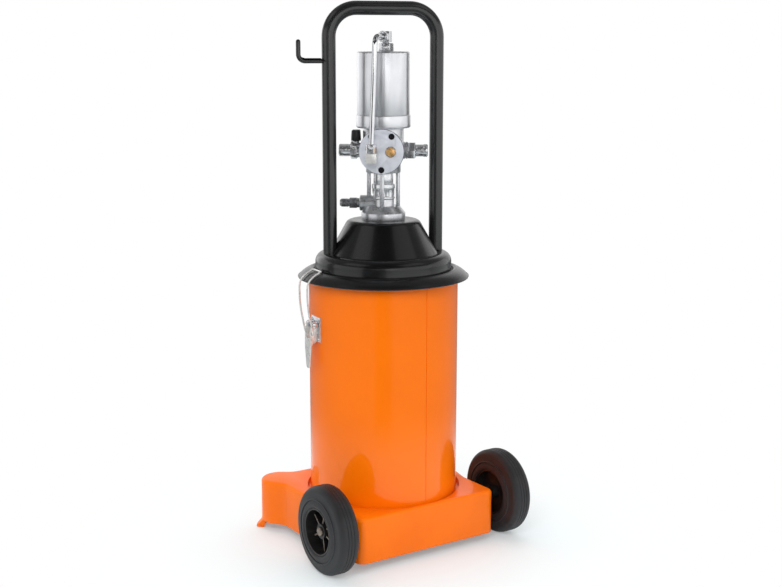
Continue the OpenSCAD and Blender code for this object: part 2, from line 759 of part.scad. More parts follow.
// Tube that carries the rod packing between flange and valve housing
module gland_tube() color("silver") pump_frame() {
    difference() {
        rotate_extrude()
            polygon([[rod_r + free_gap, neck_z], [12.5, neck_z], [12.5, gland_z],
                [15, gland_z], [15, valve_z], [rod_r + free_gap, valve_z]]);
        translate([0, 0, neck_z + 8]) cylinder(h = 12, r = 9);
    }
}

module gland_nut() color("silver") pump_frame() {
    window_w = 2 * PI * gland_r / window_count * 0.6;
    difference() {
        rotate_extrude()
            polygon([[12.6, neck_z], [gland_r - 0.6, neck_z], [gland_r, neck_z + 0.6],
                [gland_r, neck_z + 2.6], [gland_r - 0.7, neck_z + 3.4],
                [gland_r - 0.7, gland_z - 7.4], [gland_r, gland_z - 6.6],
                [gland_r, gland_z - 0.6], [gland_r - 0.6, gland_z], [12.6, gland_z]]);
        for (i = [0:window_count - 1])
            rotate([0, 0, 360 * (i + 0.5) / window_count])
                translate([12.5, -window_w / 2, neck_z + 4])
                    cube([8, window_w, gland_h - 12]);
    }
}

module rod_packing() color("black") pump_frame() {
    for (i = [0:3])
        translate([0, 0, neck_z + 8 + 3 * i]) rotate_extrude()
            polygon([[rod_r + run_fit, 0], [8.9, 0], [8.9, 3], [rod_r + run_fit, 3]]);
}

module tie_rods() color("gainsboro") pump_frame() {
    for (a = [0:90:270])
        rotate([0, 0, a]) translate([rod_circle_r, 0, rod_foot(a)])
            cylinder(h = valve_z + 7.5 - rod_foot(a), r = rod_dia / 2);
}

// Valve block: tapered round body, front boss for the cover and two side ports
module valve_housing() color("silver") pump_frame() {
    difference() {
        union() {
            rotate_extrude()
                polygon([[0, valve_z], [rod_circle_r + 3.4, valve_z], [rod_circle_r + 4, valve_z + 1],
                    [rod_circle_r + 4, valve_z + 12], [housing_r, valve_z + 23],
                    [housing_r, collar_z], [0, collar_z]]);
            translate([0, 0, cover_z]) along_front()
                rotate_extrude()
                    polygon([[0, 0], [cover_r - 0.3, 0], [cover_r - 0.3, housing_front - 5],
                        [cover_r - 0.3, housing_front], [0, housing_front]]);
            for (s = [-1, 1])
                translate([0, 0, port_z]) along_x(s) rotate_extrude()
                    polygon([[0, 0], [13, 0], [13, port_len - 1], [12, port_len], [0, port_len]]);
        }
        translate([0, 0, valve_z - 1]) cylinder(h = housing_h + 2, r = rod_r + free_gap);
        for (s = [-1, 1])
            translate([0, 0, port_z]) along_x(s)
                translate([0, 0, 20]) cylinder(h = 20, r = 6.05);
        for (a = [0:90:270])
            rotate([0, 0, a]) translate([rod_circle_r, 0, valve_z - 5])
                cylinder(h = 13, r = rod_dia / 2 + 0.05);
        for (a = [-90, 56, 124])
            translate([screw_circle_r * cos(a), 0, cover_z + screw_circle_r * sin(a)])
                along_front() translate([0, 0, housing_front - 8.6])
                    cylinder(h = 20, r = 2.65);
    }
}

module valve_gasket() color("black") pump_frame() {
    translate([0, -housing_front, cover_z]) along_front()
        difference() {
            cylinder(h = gasket_t, r = cover_r + 0.5);
            for (a = [-90, 56, 124])
                translate([screw_circle_r * cos(a), screw_circle_r * sin(a), -1])
                    cylinder(h = 6, r = 2.65);
        }
}

module valve_cover() color("lightsteelblue") pump_frame() {
    translate([0, -cover_back, cover_z]) along_front()
        difference() {
            rotate_extrude()
                polygon([[0, 0], [cover_r, 0], [cover_r, cover_t - 0.8], [cover_r - 0.8, cover_t],
                    [0, cover_t]]);
            for (a = [-90, 56, 124])
                translate([screw_circle_r * cos(a), screw_circle_r * sin(a), 0]) {
                    translate([0, 0, -1]) cylinder(h = 20, r = 2.65);
                    translate([0, 0, cover_t - 3.2]) cylinder(h = 8, r = 4.65);
                }
            translate([port_x, 0, 1.2]) cylinder(h = 8, r = 5.55);
            translate([-port_x, elbow_low_z - cover_z, 1.2]) cylinder(h = 8, r = 4.55);
        }
}

module cover_screws() color("black") pump_frame() {
    translate([0, -cover_front, cover_z]) along_front()
        for (a = [-90, 56, 124])
            translate([screw_circle_r * cos(a), screw_circle_r * sin(a), 0])
                difference() {
                    union() {
                        translate([0, 0, -3.2]) rotate_extrude()
                            polygon([[0, 0], [4.4, 0], [4.4, 2.9], [3.8, 3.5], [0, 3.5]]);
                        translate([0, 0, -cover_t - gasket_t - 8.3])
                            cylinder(h = cover_t + gasket_t + 6.8, r = 2.6);
                    }
                    translate([0, 0, -2.2]) hex_bar(4, 4);
                }
}

module cover_plug() color("goldenrod") pump_frame() {
    translate([port_x, -cover_front, cover_z]) along_front() {
        translate([0, 0, -3.4]) cylinder(h = 4, r = 5.5);
        rotate_extrude() polygon([[0, 0], [8.2, 0], [8.2, 1.2], [7.6, 1.8], [0, 1.8]]);
        translate([0, 0, 1.7]) hex_nut(12.6, 4);
    }
}

// Block elbow on the cover; its upper stub carries the pipe nut
module lower_elbow() color("silver") pump_frame() {
    difference() {
        union() {
            translate([-port_x - 8, -pipe_front - 8, elbow_low_z - 7])
                cube([16, pipe_front + 8 - cover_front, 14]);
            translate([-port_x, -cover_front + 3.4, elbow_low_z])
                along_front() cylinder(h = 5, r = 4.5);
            translate([-port_x, -pipe_front, elbow_low_z]) cylinder(h = 15, r = 5.4);
        }
        translate([-port_x, -pipe_front, elbow_low_z]) cylinder(h = 20, r = 2.6);
        translate([-port_x, -cover_front + 6, elbow_low_z])
            along_front() cylinder(h = pipe_front - cover_front + 6, r = 2.6);
    }
}

module lower_pipe_nut() color("gainsboro") pump_frame() {
    translate([-port_x, -pipe_front, elbow_low_z + 7])
        difference() {
            hex_nut(15, 14);
            translate([0, 0, -1]) cylinder(h = 9.2, r = 5.45);
            cylinder(h = 20, r = pipe_d / 2 + 0.4);
        }
}

// Centre line of the air pipe: leaning riser, bend and level arm, longer by a cut allowance
function pipe_line(more) =
    let (high = [pipe_top.x, pipe_top.y, elbow_z - pipe_bend],
        far = arm_len - 12.6 + more)
    concat([[-port_x, -pipe_front, pipe_low_z - more]],
        [for (a = [0:11.25:90]) let (out = pipe_bend * (1 - cos(a)))
            high + [arm.x * out, arm.y * out, pipe_bend * sin(a)]],
        [[pipe_top.x + arm.x * far, pipe_top.y + arm.y * far, elbow_z]]);

module air_pipe() color("white") pump_frame() {
    difference() {
        wire(pipe_line(0), pipe_d / 2, 24);
        wire(pipe_line(1), pipe_d / 2 - 1, 24);
    }
}

// Place on the upper arm, looking from the elbow towards the pipe
module upper_arm() {
    translate([elbow_at.x, elbow_at.y, elbow_z])
        rotate([0, 0, arm_turn + 180]) along_x(1) children();
}

module upper_pipe_nut() color("gainsboro") pump_frame() {
    upper_arm() translate([0, 0, 7.2])
        difference() {
            hex_nut(15, 12);
            translate([0, 0, -1]) cylinder(h = 6.6, r = 5.45);
            cylinder(h = 20, r = pipe_d / 2 + 0.4);
        }
}

module upper_elbow() color("silver") pump_frame() {
    difference() {
        union() {
            translate([elbow_at.x, elbow_at.y, elbow_z]) rotate([0, 0, arm_turn])
                translate([-7, -6.8, -8]) cube([14, 13.6, 16]);
            upper_arm() cylinder(h = 12.4, r = 5.4);
            translate([elbow_at.x, elbow_at.y, can_top + 7]) cylinder(h = 10, r = 4.9);
        }
        upper_arm() cylinder(h = 20, r = 2.6);
        translate([elbow_at.x, elbow_at.y, can_top]) cylinder(h = 21.5, r = 2.6);
    }
}

module top_adapter() color("silver") pump_frame() {
    translate([elbow_at.x, elbow_at.y, can_top])
        difference() {
            union() {
                hex_nut(20, 12);
                translate([0, 0, -3.5]) cylinder(h = 4, r = 5.9);
            }
            translate([0, 0, 6.9]) cylinder(h = 20, r = 4.95);
            translate([0, 0, -10]) cylinder(h = 20, r = 2.6);
        }
}

module cylinder_base() color("silver") pump_frame() {
    difference() {
        rotate_extrude()
            polygon([[0, collar_z], [collar_r - 2, collar_z], [collar_r, collar_z + 2],
                [collar_r, can_z - 0.8], [collar_r - 0.8, can_z], [0, can_z]]);
        translate([0, 0, piston_floor]) cylinder(h = collar_h, r = can_r + 0.04);
        translate([0, 0, collar_z - 1]) cylinder(h = 20, r = rod_r + free_gap);
    }
}

module cylinder_can() color("silver") pump_frame() {
    difference() {
        rotate_extrude()
            polygon(concat([[0, piston_floor], [can_r, piston_floor]],
                arc([can_r - 3, can_top - 3], 3, 0, 90, 5), [[0, can_top]]));
        translate([0, 0, piston_floor - 1]) cylinder(h = can_top - piston_floor - 2.5, r = can_bore);
        translate([elbow_at.x, elbow_at.y, can_top - 10]) cylinder(h = 20, r = 5.95);
    }
}

// Air piston with a ring groove, rest place near the cylinder base
module air_piston() color("gray") pump_frame() translate([0, 0, piston_floor + 2]) {
    edge = can_bore - free_gap;
    difference() {
        rotate_extrude()
            polygon([[0, 0], [edge - 1, 0], [edge, 1], [edge, 4.2], [edge - 1.8, 4.2],
                [edge - 1.8, 7.8], [edge, 7.8], [edge, 11], [edge - 1, 12], [0, 12]]);
        translate([0, 0, -1]) cylinder(h = 8, r = rod_r + 0.02);
    }
}

module piston_seal() color("black") pump_frame() {
    ring = (can_bore - run_fit - (can_bore - free_gap - 1.75)) / 2;
    translate([0, 0, piston_floor + 8]) rotate_extrude()
        translate([can_bore - run_fit - ring, 0]) circle(r = ring);
}

module piston_rod() color("white") pump_frame() {
    translate([0, 0, plunger_z + 12])
        cylinder(h = piston_floor + 9 - plunger_z - 12, r = rod_r);
}

module plunger() color("gray") pump_frame() translate([0, 0, plunger_z]) {
    bore = tube_r - suction_t;
    difference() {
        rotate_extrude()
            polygon([[0, 0], [bore - 1.6, 0], [bore - free_gap, 1.2], [bore - free_gap, 18],
                [bore - 1.6, 19.2], [8, 24], [0, 24]]);
        translate([0, 0, 12]) cylinder(h = 20, r = rod_r + 0.02);
        for (a = [0:90:270])
            rotate([0, 0, a]) translate([9.6, 0, -1]) cylinder(h = 40, r = 1.6);
    }
}

// Shut-off valve on the air inlet with a stem for the lever
module ball_valve_body() color("silver") pump_frame() {
    translate([0, 0, port_z])
        difference() {
            union() {
                along_x(-1) translate([0, 0, 21]) cylinder(h = 12, r = 6);
                along_x(-1) translate([0, 0, port_len]) cylinder(h = 39.6 - port_len, r = 11);
                along_x(-1) translate([0, 0, 39.5]) hex_nut(23.2, 10);
                translate([-stem_x, 0, 0]) cylinder(h = 14, r = 5.2);
                translate([-stem_x, 0, 0]) cylinder(h = 19.6, r = 3.4);
            }
            along_x(-1) translate([0, 0, 20]) cylinder(h = 16, r = 4);
            along_x(-1) translate([0, 0, 44]) cylinder(h = 16, r = 6.05);
        }
}

// Short moulded knob, set across the pipe when the air is shut
module valve_lever() color("black") pump_frame() {
    translate([-stem_x, 0, port_z + 14.4])
        difference() {
            intersection() {
                translate([0, 14, 0]) along_front()
                    linear_extrude(height = 28)
                        polygon([[-7.4, 0], [7.4, 0], [7.4, 4], [6.2, 15], [5.2, 16.2],
                            [-5.2, 16.2], [-6.2, 15], [-7.4, 4]]);
                linear_extrude(height = 20) {
                    translate([0, 2.6]) circle(r = 7.4);
                    translate([0, -2.6]) circle(r = 7.4);
                    translate([-7.4, -2.6]) square([14.8, 5.2]);
                }
            }
            translate([0, 0, -1]) cylinder(h = 7, r = 3.4 + run_fit);
        }
}

module inlet_nipple() color("silver") pump_frame() {
    translate([0, 0, port_z]) along_x(-1)
        difference() {
            union() {
                translate([0, 0, 44.4]) cylinder(h = 6, r = 6);
                translate([0, 0, 49.5]) rotate_extrude()
                    polygon([[0, 0], [inlet_d / 2, 0], [inlet_d / 2, inlet_end - 51.5],
                        [inlet_d / 2 - 0.8, inlet_end - 50], [inlet_d / 2 - 2, inlet_end - 49.5],
                        [0, inlet_end - 49.5]]);
            }
            translate([0, 0, 40]) cylinder(h = 60, r = 4);
        }
}

module exhaust_adapter() color("dimgray") pump_frame() {
    translate([0, 0, port_z]) along_x(1)
        difference() {
            union() {
                translate([0, 0, 21]) cylinder(h = 12, r = 6);
                translate([0, 0, port_len]) hex_nut(22, 37.6 - port_len);
            }
            translate([0, 0, 20]) cylinder(h = 60, r = 4);
        }
}

module silencer() color("silver") pump_frame() {
    translate([0, 0, port_z]) along_x(1)
        difference() {
            union() {
                translate([0, 0, 37.6]) hex_nut(23.4, 11.2);
                translate([0, 0, 48.6]) rotate_extrude()
                    polygon([[0, 0], [silencer_d / 2 - 0.6, 0], [silencer_d / 2 - 0.6, silencer_end - 54],
                        [silencer_d / 2, silencer_end - 53.4], [silencer_d / 2, silencer_end - 50],
                        [silencer_d / 2 - 1.4, silencer_end - 48.6], [0, silencer_end - 48.6]]);
            }
            translate([0, 0, 37]) cylinder(h = silencer_end - 41, r = 4);
            for (i = [0:5])
                rotate([0, 0, 60 * i]) translate([5.2, 0, silencer_end - 3])
                    cylinder(h = 6, r = 1.2);
        }
}

module suction_tube() color("silver") pump_frame() {
    translate([0, 0, tube_end])
        difference() {
            cylinder(h = 8.8 - tube_end, r = tube_r);
            translate([0, 0, -1]) cylinder(h = 20 - tube_end, r = tube_r - suction_t);
        }
}

// Foot valve with a ball seat and four intake slots
module foot_valve() color("silver") pump_frame() translate([0, 0, foot_z]) {
    difference() {
        rotate_extrude()
            polygon([[0, 0], [tube_r, 0], [tube_r + 1.4, 1.4], [tube_r + 1.4, foot_valve_h - 1],
                [tube_r + 0.6, foot_valve_h], [0, foot_valve_h]]);
        translate([0, 0, 8]) cylinder(h = 4, r1 = 4, r2 = 9);
        translate([0, 0, 11.9]) cylinder(h = 20, r = 9);
        translate([0, 0, -1]) cylinder(h = 12, r = 4);
        for (a = [0, 90])
            rotate([0, 0, a]) translate([-30, -3, 1.5]) cube([60, 6, 5]);
    }
}

module check_ball() color("white") pump_frame() {
    translate([0, 0, foot_z + 8 + sqrt(5.6 * 5.6 - 4 * 4) + 0.02]) sphere(r = 5.6);
}

module follower_plate() color("silver") at_axis() translate([0, 0, drum_z + drum_t + follower_rest]) {
    difference() {
        rotate_extrude()
            polygon([[tube_r + free_gap, 0], [tube_r + 14, 0], [tube_r + 18, 4],
                [follower_r - 21, 4], [follower_r - 17, 0], [follower_r, 0], [follower_r, 2.4],
                [follower_r - 16, 2.4], [follower_r - 20, 6.4], [tube_r + 17, 6.4],
                [tube_r + 13, 2.4], [tube_r + 7, 2.4], [tube_r + 7, 22], [tube_r + free_gap, 22]]);
        for (a = [0:60:300])
            rotate([0, 0, a]) translate([(tube_r + follower_r) / 2, 0, -1]) cylinder(h = 10, r = 3);
    }
}

// Rubber lip held on the plate edge; the lip runs just inside the drum wall
module follower_seal() color("black") at_axis() translate([0, 0, drum_z + drum_t + follower_rest]) {
    lip = drum_r - drum_t - free_gap;
    rotate_extrude()
        polygon([[follower_r - 6, 2.4], [follower_r, 2.4], [follower_r, 0], [follower_r + 2, -1],
            [lip, 4], [lip, 9], [follower_r + 2, 5], [follower_r - 6, 5]]);
}

base_shell();
axle();
axle_spacers();
axle_caps();
wheel_rim(-1);  // wheel_rim_left
wheel_rim(1);  // wheel_rim_right
tyre(-1);  // tyre_left
tyre(1);  // tyre_right
drum();
lid_gasket();
lid();
handle();
hose_hook();
latch_bracket(-1);  // latch_bracket_left
latch_bracket(1);  // latch_bracket_right
latch_rivets();
latch_pin(-1);  // latch_pin_left
latch_pin(1);  // latch_pin_right
latch_lever(-1);  // latch_lever_left
latch_lever(1);  // latch_lever_right
latch_bail(-1);  // latch_bail_left
latch_bail(1);  // latch_bail_right
outlet_body();
clamp_nut();
outlet_adapter();
gland_tube();
gland_nut();
rod_packing();
tie_rods();
valve_housing();
valve_gasket();
valve_cover();
cover_screws();
cover_plug();
lower_elbow();
lower_pipe_nut();
air_pipe();
upper_pipe_nut();
upper_elbow();
top_adapter();
cylinder_base();
cylinder_can();
air_piston();
piston_seal();
piston_rod();
plunger();
ball_valve_body();
valve_lever();
inlet_nipple();
exhaust_adapter();
silencer();
suction_tube();
foot_valve();
check_ball();
follower_plate();
follower_seal();
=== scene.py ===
"""Looks of a wheeled pneumatic grease pump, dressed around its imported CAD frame.

The CAD solids carry the sizes and the motion. This script models the pieces that need a finer
surface, softens merged copies of the others, gives all of them their finishes and sets up the
studio. Lengths are metres in the CAD frame, and sizes written in millimetres are turned by MM.
"""

import json
import logging
import math
from collections.abc import Callable, Iterator, Sequence
from contextlib import contextmanager
from dataclasses import dataclass
from enum import Enum
from itertools import pairwise

import bmesh
import bpy
from mathutils import Matrix, Vector


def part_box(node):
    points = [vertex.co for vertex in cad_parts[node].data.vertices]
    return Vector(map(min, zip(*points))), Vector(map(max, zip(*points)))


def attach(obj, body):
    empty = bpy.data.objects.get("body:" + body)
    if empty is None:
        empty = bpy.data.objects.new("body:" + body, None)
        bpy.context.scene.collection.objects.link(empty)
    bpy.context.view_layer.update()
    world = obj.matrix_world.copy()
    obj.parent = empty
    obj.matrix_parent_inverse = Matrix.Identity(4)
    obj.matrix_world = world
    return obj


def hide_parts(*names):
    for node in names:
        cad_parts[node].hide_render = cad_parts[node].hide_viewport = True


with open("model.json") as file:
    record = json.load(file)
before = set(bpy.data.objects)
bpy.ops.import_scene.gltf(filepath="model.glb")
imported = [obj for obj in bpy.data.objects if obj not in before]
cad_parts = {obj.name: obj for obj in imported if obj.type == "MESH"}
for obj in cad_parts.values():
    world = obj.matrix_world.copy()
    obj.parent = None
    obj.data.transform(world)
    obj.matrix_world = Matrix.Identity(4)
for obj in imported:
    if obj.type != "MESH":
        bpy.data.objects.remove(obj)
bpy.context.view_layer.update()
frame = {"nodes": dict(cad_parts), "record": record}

MM = 0.001
# Points closer than this are one point
WELD = 0.002 * MM
# Angles in degrees: between facets that are one face, at edges that get rounded, and the largest
# ones that are shaded smooth on most pieces, on big pressings and mouldings, and on wire
FLAT = 0.6
SHARP = 38.0
SMOOTH = 35.0
BROAD_SMOOTH = 40.0
WIRE_SMOOTH = 70.0
# Least share of a face's normal along an axis that the face is square to
SQUARE = 0.9
# Noise levels over which patches change colour, and sums of both noises over which gloss swings
PATCH_SPAN = (0.35, 0.65)
GLOSS_SPAN = (0.6, 1.4)
LEAST_ROUGHNESS = 0.02
# Turns of the handle and of the pump about Z in degrees
HANDLE_TURN = -18.0
PUMP_TURN = -38.0
BODY_OF = {n: b for b, nodes in frame["record"]["behaviour"]["bodies"].items() for n in nodes}
log = logging.getLogger("grease_pump")

Point = tuple[float, float, float]
Pair = tuple[float, float]
Profile = Sequence[Pair]
Piece = bpy.types.Object
Socket = bpy.types.NodeSocket
Tree = bpy.types.NodeTree
# Takes a face's centre and normal and says whether it is wanted
FaceTest = Callable[[Vector, Vector], bool]


class Side(Enum):
    """Side of the cart as seen from its wheels, with its sign along X."""

    LEFT = -1
    RIGHT = 1

    def node(self, stem: str) -> str:
        """Names the CAD node of a paired piece on this side.

        Args:
            stem: the node's name without its side.

        Returns:
            The CAD node's full name.
        """
        return f"{stem}_{self.name.lower()}"

    def outward(self) -> Matrix:
        """Finds the turn that lays the Z axis out to this side.

        Returns:
            A quarter turn about Y.
        """
        return Matrix.Rotation(math.radians(90 * self.value), 4, "Y")


class Grain(Enum):
    """How a surface was made, which sets the pattern that it shows."""

    PEEL = "sprayed and baked"
    CAST = "cast and tumbled"
    TURNED = "turned on a lathe"
    PLATED = "plated"
    MOULDED = "moulded"


class Edge(Enum):
    """Width of the rounding of sharp edges in millimetres, by how a piece is made."""

    NONE = 0.0
    GASKET = 0.1
    SCREW = 0.2
    FINE = 0.3
    PRESSED = 0.4
    TURNED = 0.5
    CAST = 0.6
    MOULDED = 0.8


def linear(code: str) -> tuple[float, float, float, float]:
    """Turns an sRGB hex colour into linear RGBA.

    Args:
        code: six hex digits with a leading hash.

    Returns:
        Red, green, blue and full alpha, each from 0 to 1.
    """
    parts = [int(code[i:i + 2], 16) / 255 for i in (1, 3, 5)]
    red, green, blue = (
        c / 12.92 if c <= 0.04045 else ((c + 0.055) / 1.055) ** 2.4 for c in parts
    )
    return red, green, blue, 1.0


def add_node(
    tree: Tree,
    kind: str,
    settings: dict[str, object] | None = None,
    inputs: dict[str | int, object] | None = None,
) -> bpy.types.Node:
    """Adds one shader node, sets it up and links it.

    Args:
        tree: the node tree that gets the node.
        kind: the node's type name without the ShaderNode prefix.
        settings: properties of the node itself.
        inputs: values for input sockets, or output sockets to link to them.

    Returns:
        The new node.
    """
    node = tree.nodes.new("ShaderNode" + kind)
    for name, value in (settings or {}).items():
        setattr(node, name, value)
    for name, value in (inputs or {}).items():
        if isinstance(value, Socket):
            tree.links.new(value, node.inputs[name])
        else:
            node.inputs[name].default_value = value
    return node


@dataclass(frozen=True)
class Ramp:
    """A level that eases from one value to another.

    Attributes:
        start: where the easing starts.
        end: where it ends.
        low: level up to the start.
        high: level from the end on.
    """

    start: float
    end: float
    low: float
    high: float = 1.0

    def add(self, tree: Tree, value: Socket, high: Socket | None = None) -> Socket:
        """Adds the ramp to a node tree.

        Args:
            tree: the node tree that gets it.
            value: what crosses the ramp.
            high: a level that takes the place of the ramp's own last one.

        Returns:
            The socket with the level.
        """
        return add_node(tree, "MapRange", {"interpolation_type": "SMOOTHSTEP"}, {
            "Value": value, "From Min": self.start, "From Max": self.end,
            "To Min": self.low, "To Max": self.high if high is None else high,
        }).outputs["Result"]


@dataclass(frozen=True)
class Finish:
    """A finish with its colours, its gloss and the grain that breaks both up.

    Attributes:
        title: the material's name.
        grain: how the surface was made.
        tone: main colour in sRGB hex.
        shade: second colour that patches mix in.
        roughness: mean roughness.
        swing: how far roughness moves up and down.
        metallic: 1 for bare metal.
        patch_mm: size of the colour patches.
        grain_mm: size of the grain, drawn coarse enough to show.
        depth_mm: height of the grain.
        coat: weight of a clear gloss layer.
        specular: strength of the plain reflection.
    """

    title: str
    grain: Grain
    tone: str
    shade: str
    roughness: float
    swing: float = 0.05
    metallic: float = 0.0
    patch_mm: float = 12.0
    grain_mm: float = 0.8
    depth_mm: float = 0.008
    coat: float = 0.0
    specular: float = 0.5

    def stretch(self) -> Point:
        """Finds the scale of the grain, so that turned metal shows rings.

        Returns:
            Scale along X, Y and Z.
        """
        return (0.04, 0.04, 1.0) if self.grain is Grain.TURNED else (1.0, 1.0, 1.0)

    def material(self) -> bpy.types.Material:
        """Builds the material, or finds it when it is there already.

        Returns:
            The procedural material of this finish.
        """
        known = bpy.data.materials.get(self.title)
        if known:
            return known
        made = bpy.data.materials.new(self.title)
        made.use_nodes = True
        tree = made.node_tree
        shader = tree.nodes["Principled BSDF"]
        place = add_node(tree, "TexCoord").outputs["Object"]
        patches = add_node(tree, "TexNoise", None, {
            "Vector": place, "Scale": 1 / (self.patch_mm * MM), "Detail": 3.0,
        }).outputs["Fac"]
        colour = add_node(tree, "ValToRGB", None, {"Fac": patches})
        stops = colour.color_ramp.elements
        for stop, position, code in zip(stops, PATCH_SPAN, (self.shade, self.tone)):
            stop.position = position
            stop.color = linear(code)
        along = add_node(tree, "Mapping", None, {
            "Vector": place, "Scale": self.stretch(),
        }).outputs["Vector"]
        if self.grain in (Grain.CAST, Grain.PLATED):
            fine = add_node(tree, "TexVoronoi", {"feature": "SMOOTH_F1"}, {
                "Vector": along, "Scale": 1 / (self.grain_mm * MM), "Smoothness": 0.8,
            }).outputs["Distance"]
        else:
            fine = add_node(tree, "TexNoise", None, {
                "Vector": along, "Scale": 1 / (self.grain_mm * MM), "Detail": 2.0,
            }).outputs["Fac"]
        mixed = add_node(tree, "Math", {"operation": "ADD"}, {0: patches, 1: fine}).outputs[0]
        gloss = add_node(tree, "MapRange", None, {
            "Value": mixed, "From Min": GLOSS_SPAN[0], "From Max": GLOSS_SPAN[1],
            "To Min": max(self.roughness - self.swing, LEAST_ROUGHNESS),
            "To Max": self.roughness + self.swing,
        }).outputs["Result"]
        relief = add_node(tree, "Bump", None, {
            "Height": fine, "Distance": self.depth_mm * MM, "Strength": 1.0,
        }).outputs["Normal"]
        tree.links.new(colour.outputs["Color"], shader.inputs["Base Color"])
        tree.links.new(gloss, shader.inputs["Roughness"])
        tree.links.new(relief, shader.inputs["Normal"])
        for name, value in (("Metallic", self.metallic), ("Specular IOR Level", self.specular),
                            ("Coat Weight", self.coat), ("Coat Roughness", 0.03)):
            shader.inputs[name].default_value = value
        return made


# Baked enamel on sheet steel: even colour, clear mirror gloss, faint orange peel
ORANGE_ENAMEL = Finish("Baked orange enamel", Grain.PEEL, "#FB7602", "#F77301", 0.4, 0.05,
                       patch_mm=90, grain_mm=2.4, depth_mm=0.003, coat=0.6, specular=0.1)
# Seam groove: the shell's enamel painted darker as shade in the groove, and dull
SEAM_SHADE_ENAMEL = Finish("Enamel in the seam", Grain.PEEL, "#7A3A0A", "#6A3208", 0.6, 0.05,
                     patch_mm=40, grain_mm=1.0, depth_mm=0.01)
# Gloss-painted moulding: the same orange with a slightly softer gloss
ORANGE_MOULDING = Finish("Gloss orange moulding", Grain.PEEL, "#F87404", "#F26F03", 0.42, 0.05,
                         patch_mm=70, grain_mm=2.0, depth_mm=0.004, coat=0.3, specular=0.1)
# Baked black enamel: deep and mirror-like
BLACK_ENAMEL = Finish("Baked black enamel", Grain.PEEL, "#0E0E0F", "#0A0A0B", 0.24, 0.04,
                      patch_mm=80, grain_mm=2.2, depth_mm=0.003, coat=0.15, specular=0.45)
# Powder coat on the handle tube: black with a silky gloss
BLACK_POWDER = Finish("Black powder coat", Grain.PEEL, "#1C1C1D", "#171718", 0.24, 0.04,
                      patch_mm=60, grain_mm=1.2, depth_mm=0.003, specular=0.7)
# Gloss-moulded polypropylene of knob and spacers
BLACK_PLASTIC = Finish("Moulded black plastic", Grain.MOULDED, "#19191A", "#121213", 0.32, 0.06,
                       patch_mm=30, depth_mm=0.012)
# Gloss polypropylene of the rims, nearly black inside the dish
RIM_PLASTIC = Finish("Black rim plastic", Grain.MOULDED, "#1A1918", "#131212", 0.38, 0.06)
# The same plastic with a painted grey highlight along the front edges of the ribs
RIB_HIGHLIGHT = Finish("Rubbed rib edge", Grain.MOULDED, "#857A70", "#6B625A", 0.45, 0.06,
                  patch_mm=6)
# Solid rubber: dull dark grey with dusty patches
TYRE_RUBBER = Finish("Moulded tyre rubber", Grain.MOULDED, "#262628", "#1F1F21", 0.52, 0.08,
                     patch_mm=22, grain_mm=0.7, depth_mm=0.02, specular=0.45)
# Nitrile of seals and gaskets: dull black
SEAL_RUBBER = Finish("Nitrile seal rubber", Grain.MOULDED, "#1C1C1E", "#141415", 0.62, 0.06,
                     patch_mm=15, grain_mm=0.6, depth_mm=0.02)
# Tumbled aluminium castings: bright satin with a soft pebble
CAST_ALLOY = Finish("Tumbled cast aluminium", Grain.CAST, "#DDDEE1", "#CACBCF", 0.3, 0.08, 0.92,
                    patch_mm=18, grain_mm=1.0)
# Turned aluminium of the air cylinder: fine rings that stretch highlights upright
TURNED_ALLOY = Finish("Turned aluminium", Grain.TURNED, "#E6E7EA", "#DFE0E4", 0.3, 0.03, 0.92,
                      patch_mm=30, grain_mm=0.7, depth_mm=0.0006)
# Satin anodised cover plate: pale cool grey, part of it scattering like paint
SATIN_PLATE = Finish("Satin anodised plate", Grain.PLATED, "#E0E2EA", "#D4D6DF", 0.42, 0.05, 0.4,
                     depth_mm=0.003)
# Zinc plate on steel fittings: grey with crystal specks
ZINC_STEEL = Finish("Zinc-plated steel", Grain.PLATED, "#E6E7E9", "#D8D9DC", 0.19, 0.05, 0.86,
                    patch_mm=10, grain_mm=0.9, depth_mm=0.0015)
# Nickel plate on elbow, nut and latches: the palest metal on the pump
PALE_NICKEL = Finish("Pale nickel plate", Grain.PLATED, "#F0EFEC", "#E6E5E2", 0.3, 0.04, 0.6,
                     patch_mm=9, grain_mm=0.9, depth_mm=0.001)
# Polished chrome of the air pipe and the piston rod: clear reflections
CHROME = Finish("Polished chrome", Grain.PLATED, "#E2E3E5", "#D6D7DA", 0.1, 0.03, 1.0,
                patch_mm=20, grain_mm=1.2, depth_mm=0.0005)
# Phosphated steel: dark grey, a little oily
DARK_STEEL = Finish("Phosphated steel", Grain.PLATED, "#A8A9AC", "#949598", 0.24, 0.05, 0.78,
                    patch_mm=8, depth_mm=0.002)
# Oiled black screws
BLACK_OXIDE = Finish("Black oxide steel", Grain.PLATED, "#17171A", "#0E0E10", 0.38, 0.06, 0.4,
                     patch_mm=6, grain_mm=0.6)
# Bare axle end: brownish grey, not plated
BARE_STEEL = Finish("Bare axle steel", Grain.TURNED, "#96897D", "#7C7067", 0.36, 0.08, 0.9,
                    patch_mm=6, grain_mm=0.6, depth_mm=0.01)
# Turned brass plug: warm and satin
BRASS = Finish("Turned brass", Grain.PLATED, "#EBBB7C", "#DDA968", 0.28, 0.05, 0.72,
               patch_mm=8, grain_mm=0.6, depth_mm=0.002)


def arc(centre: Pair, radius: float, start: float, end: float, steps: int) -> list[Pair]:
    """Lists the points of a circular arc in a profile.

    Args:
        centre: centre as distance from the axis and height.
        radius: radius of the arc.
        start: first angle in degrees.
        end: last angle in degrees.
        steps: number of chords.

    Returns:
        The points from start to end.
    """
    angles = [math.radians(start + (end - start) * i / steps) for i in range(steps + 1)]
    return [(centre[0] + radius * math.cos(a), centre[1] + radius * math.sin(a)) for a in angles]


def activate(piece: Piece) -> None:
    """Makes a piece the only selected and active object.

    Args:
        piece: the object to work on.
    """
    bpy.ops.object.select_all(action="DESELECT")
    piece.select_set(True)
    bpy.context.view_layer.objects.active = piece


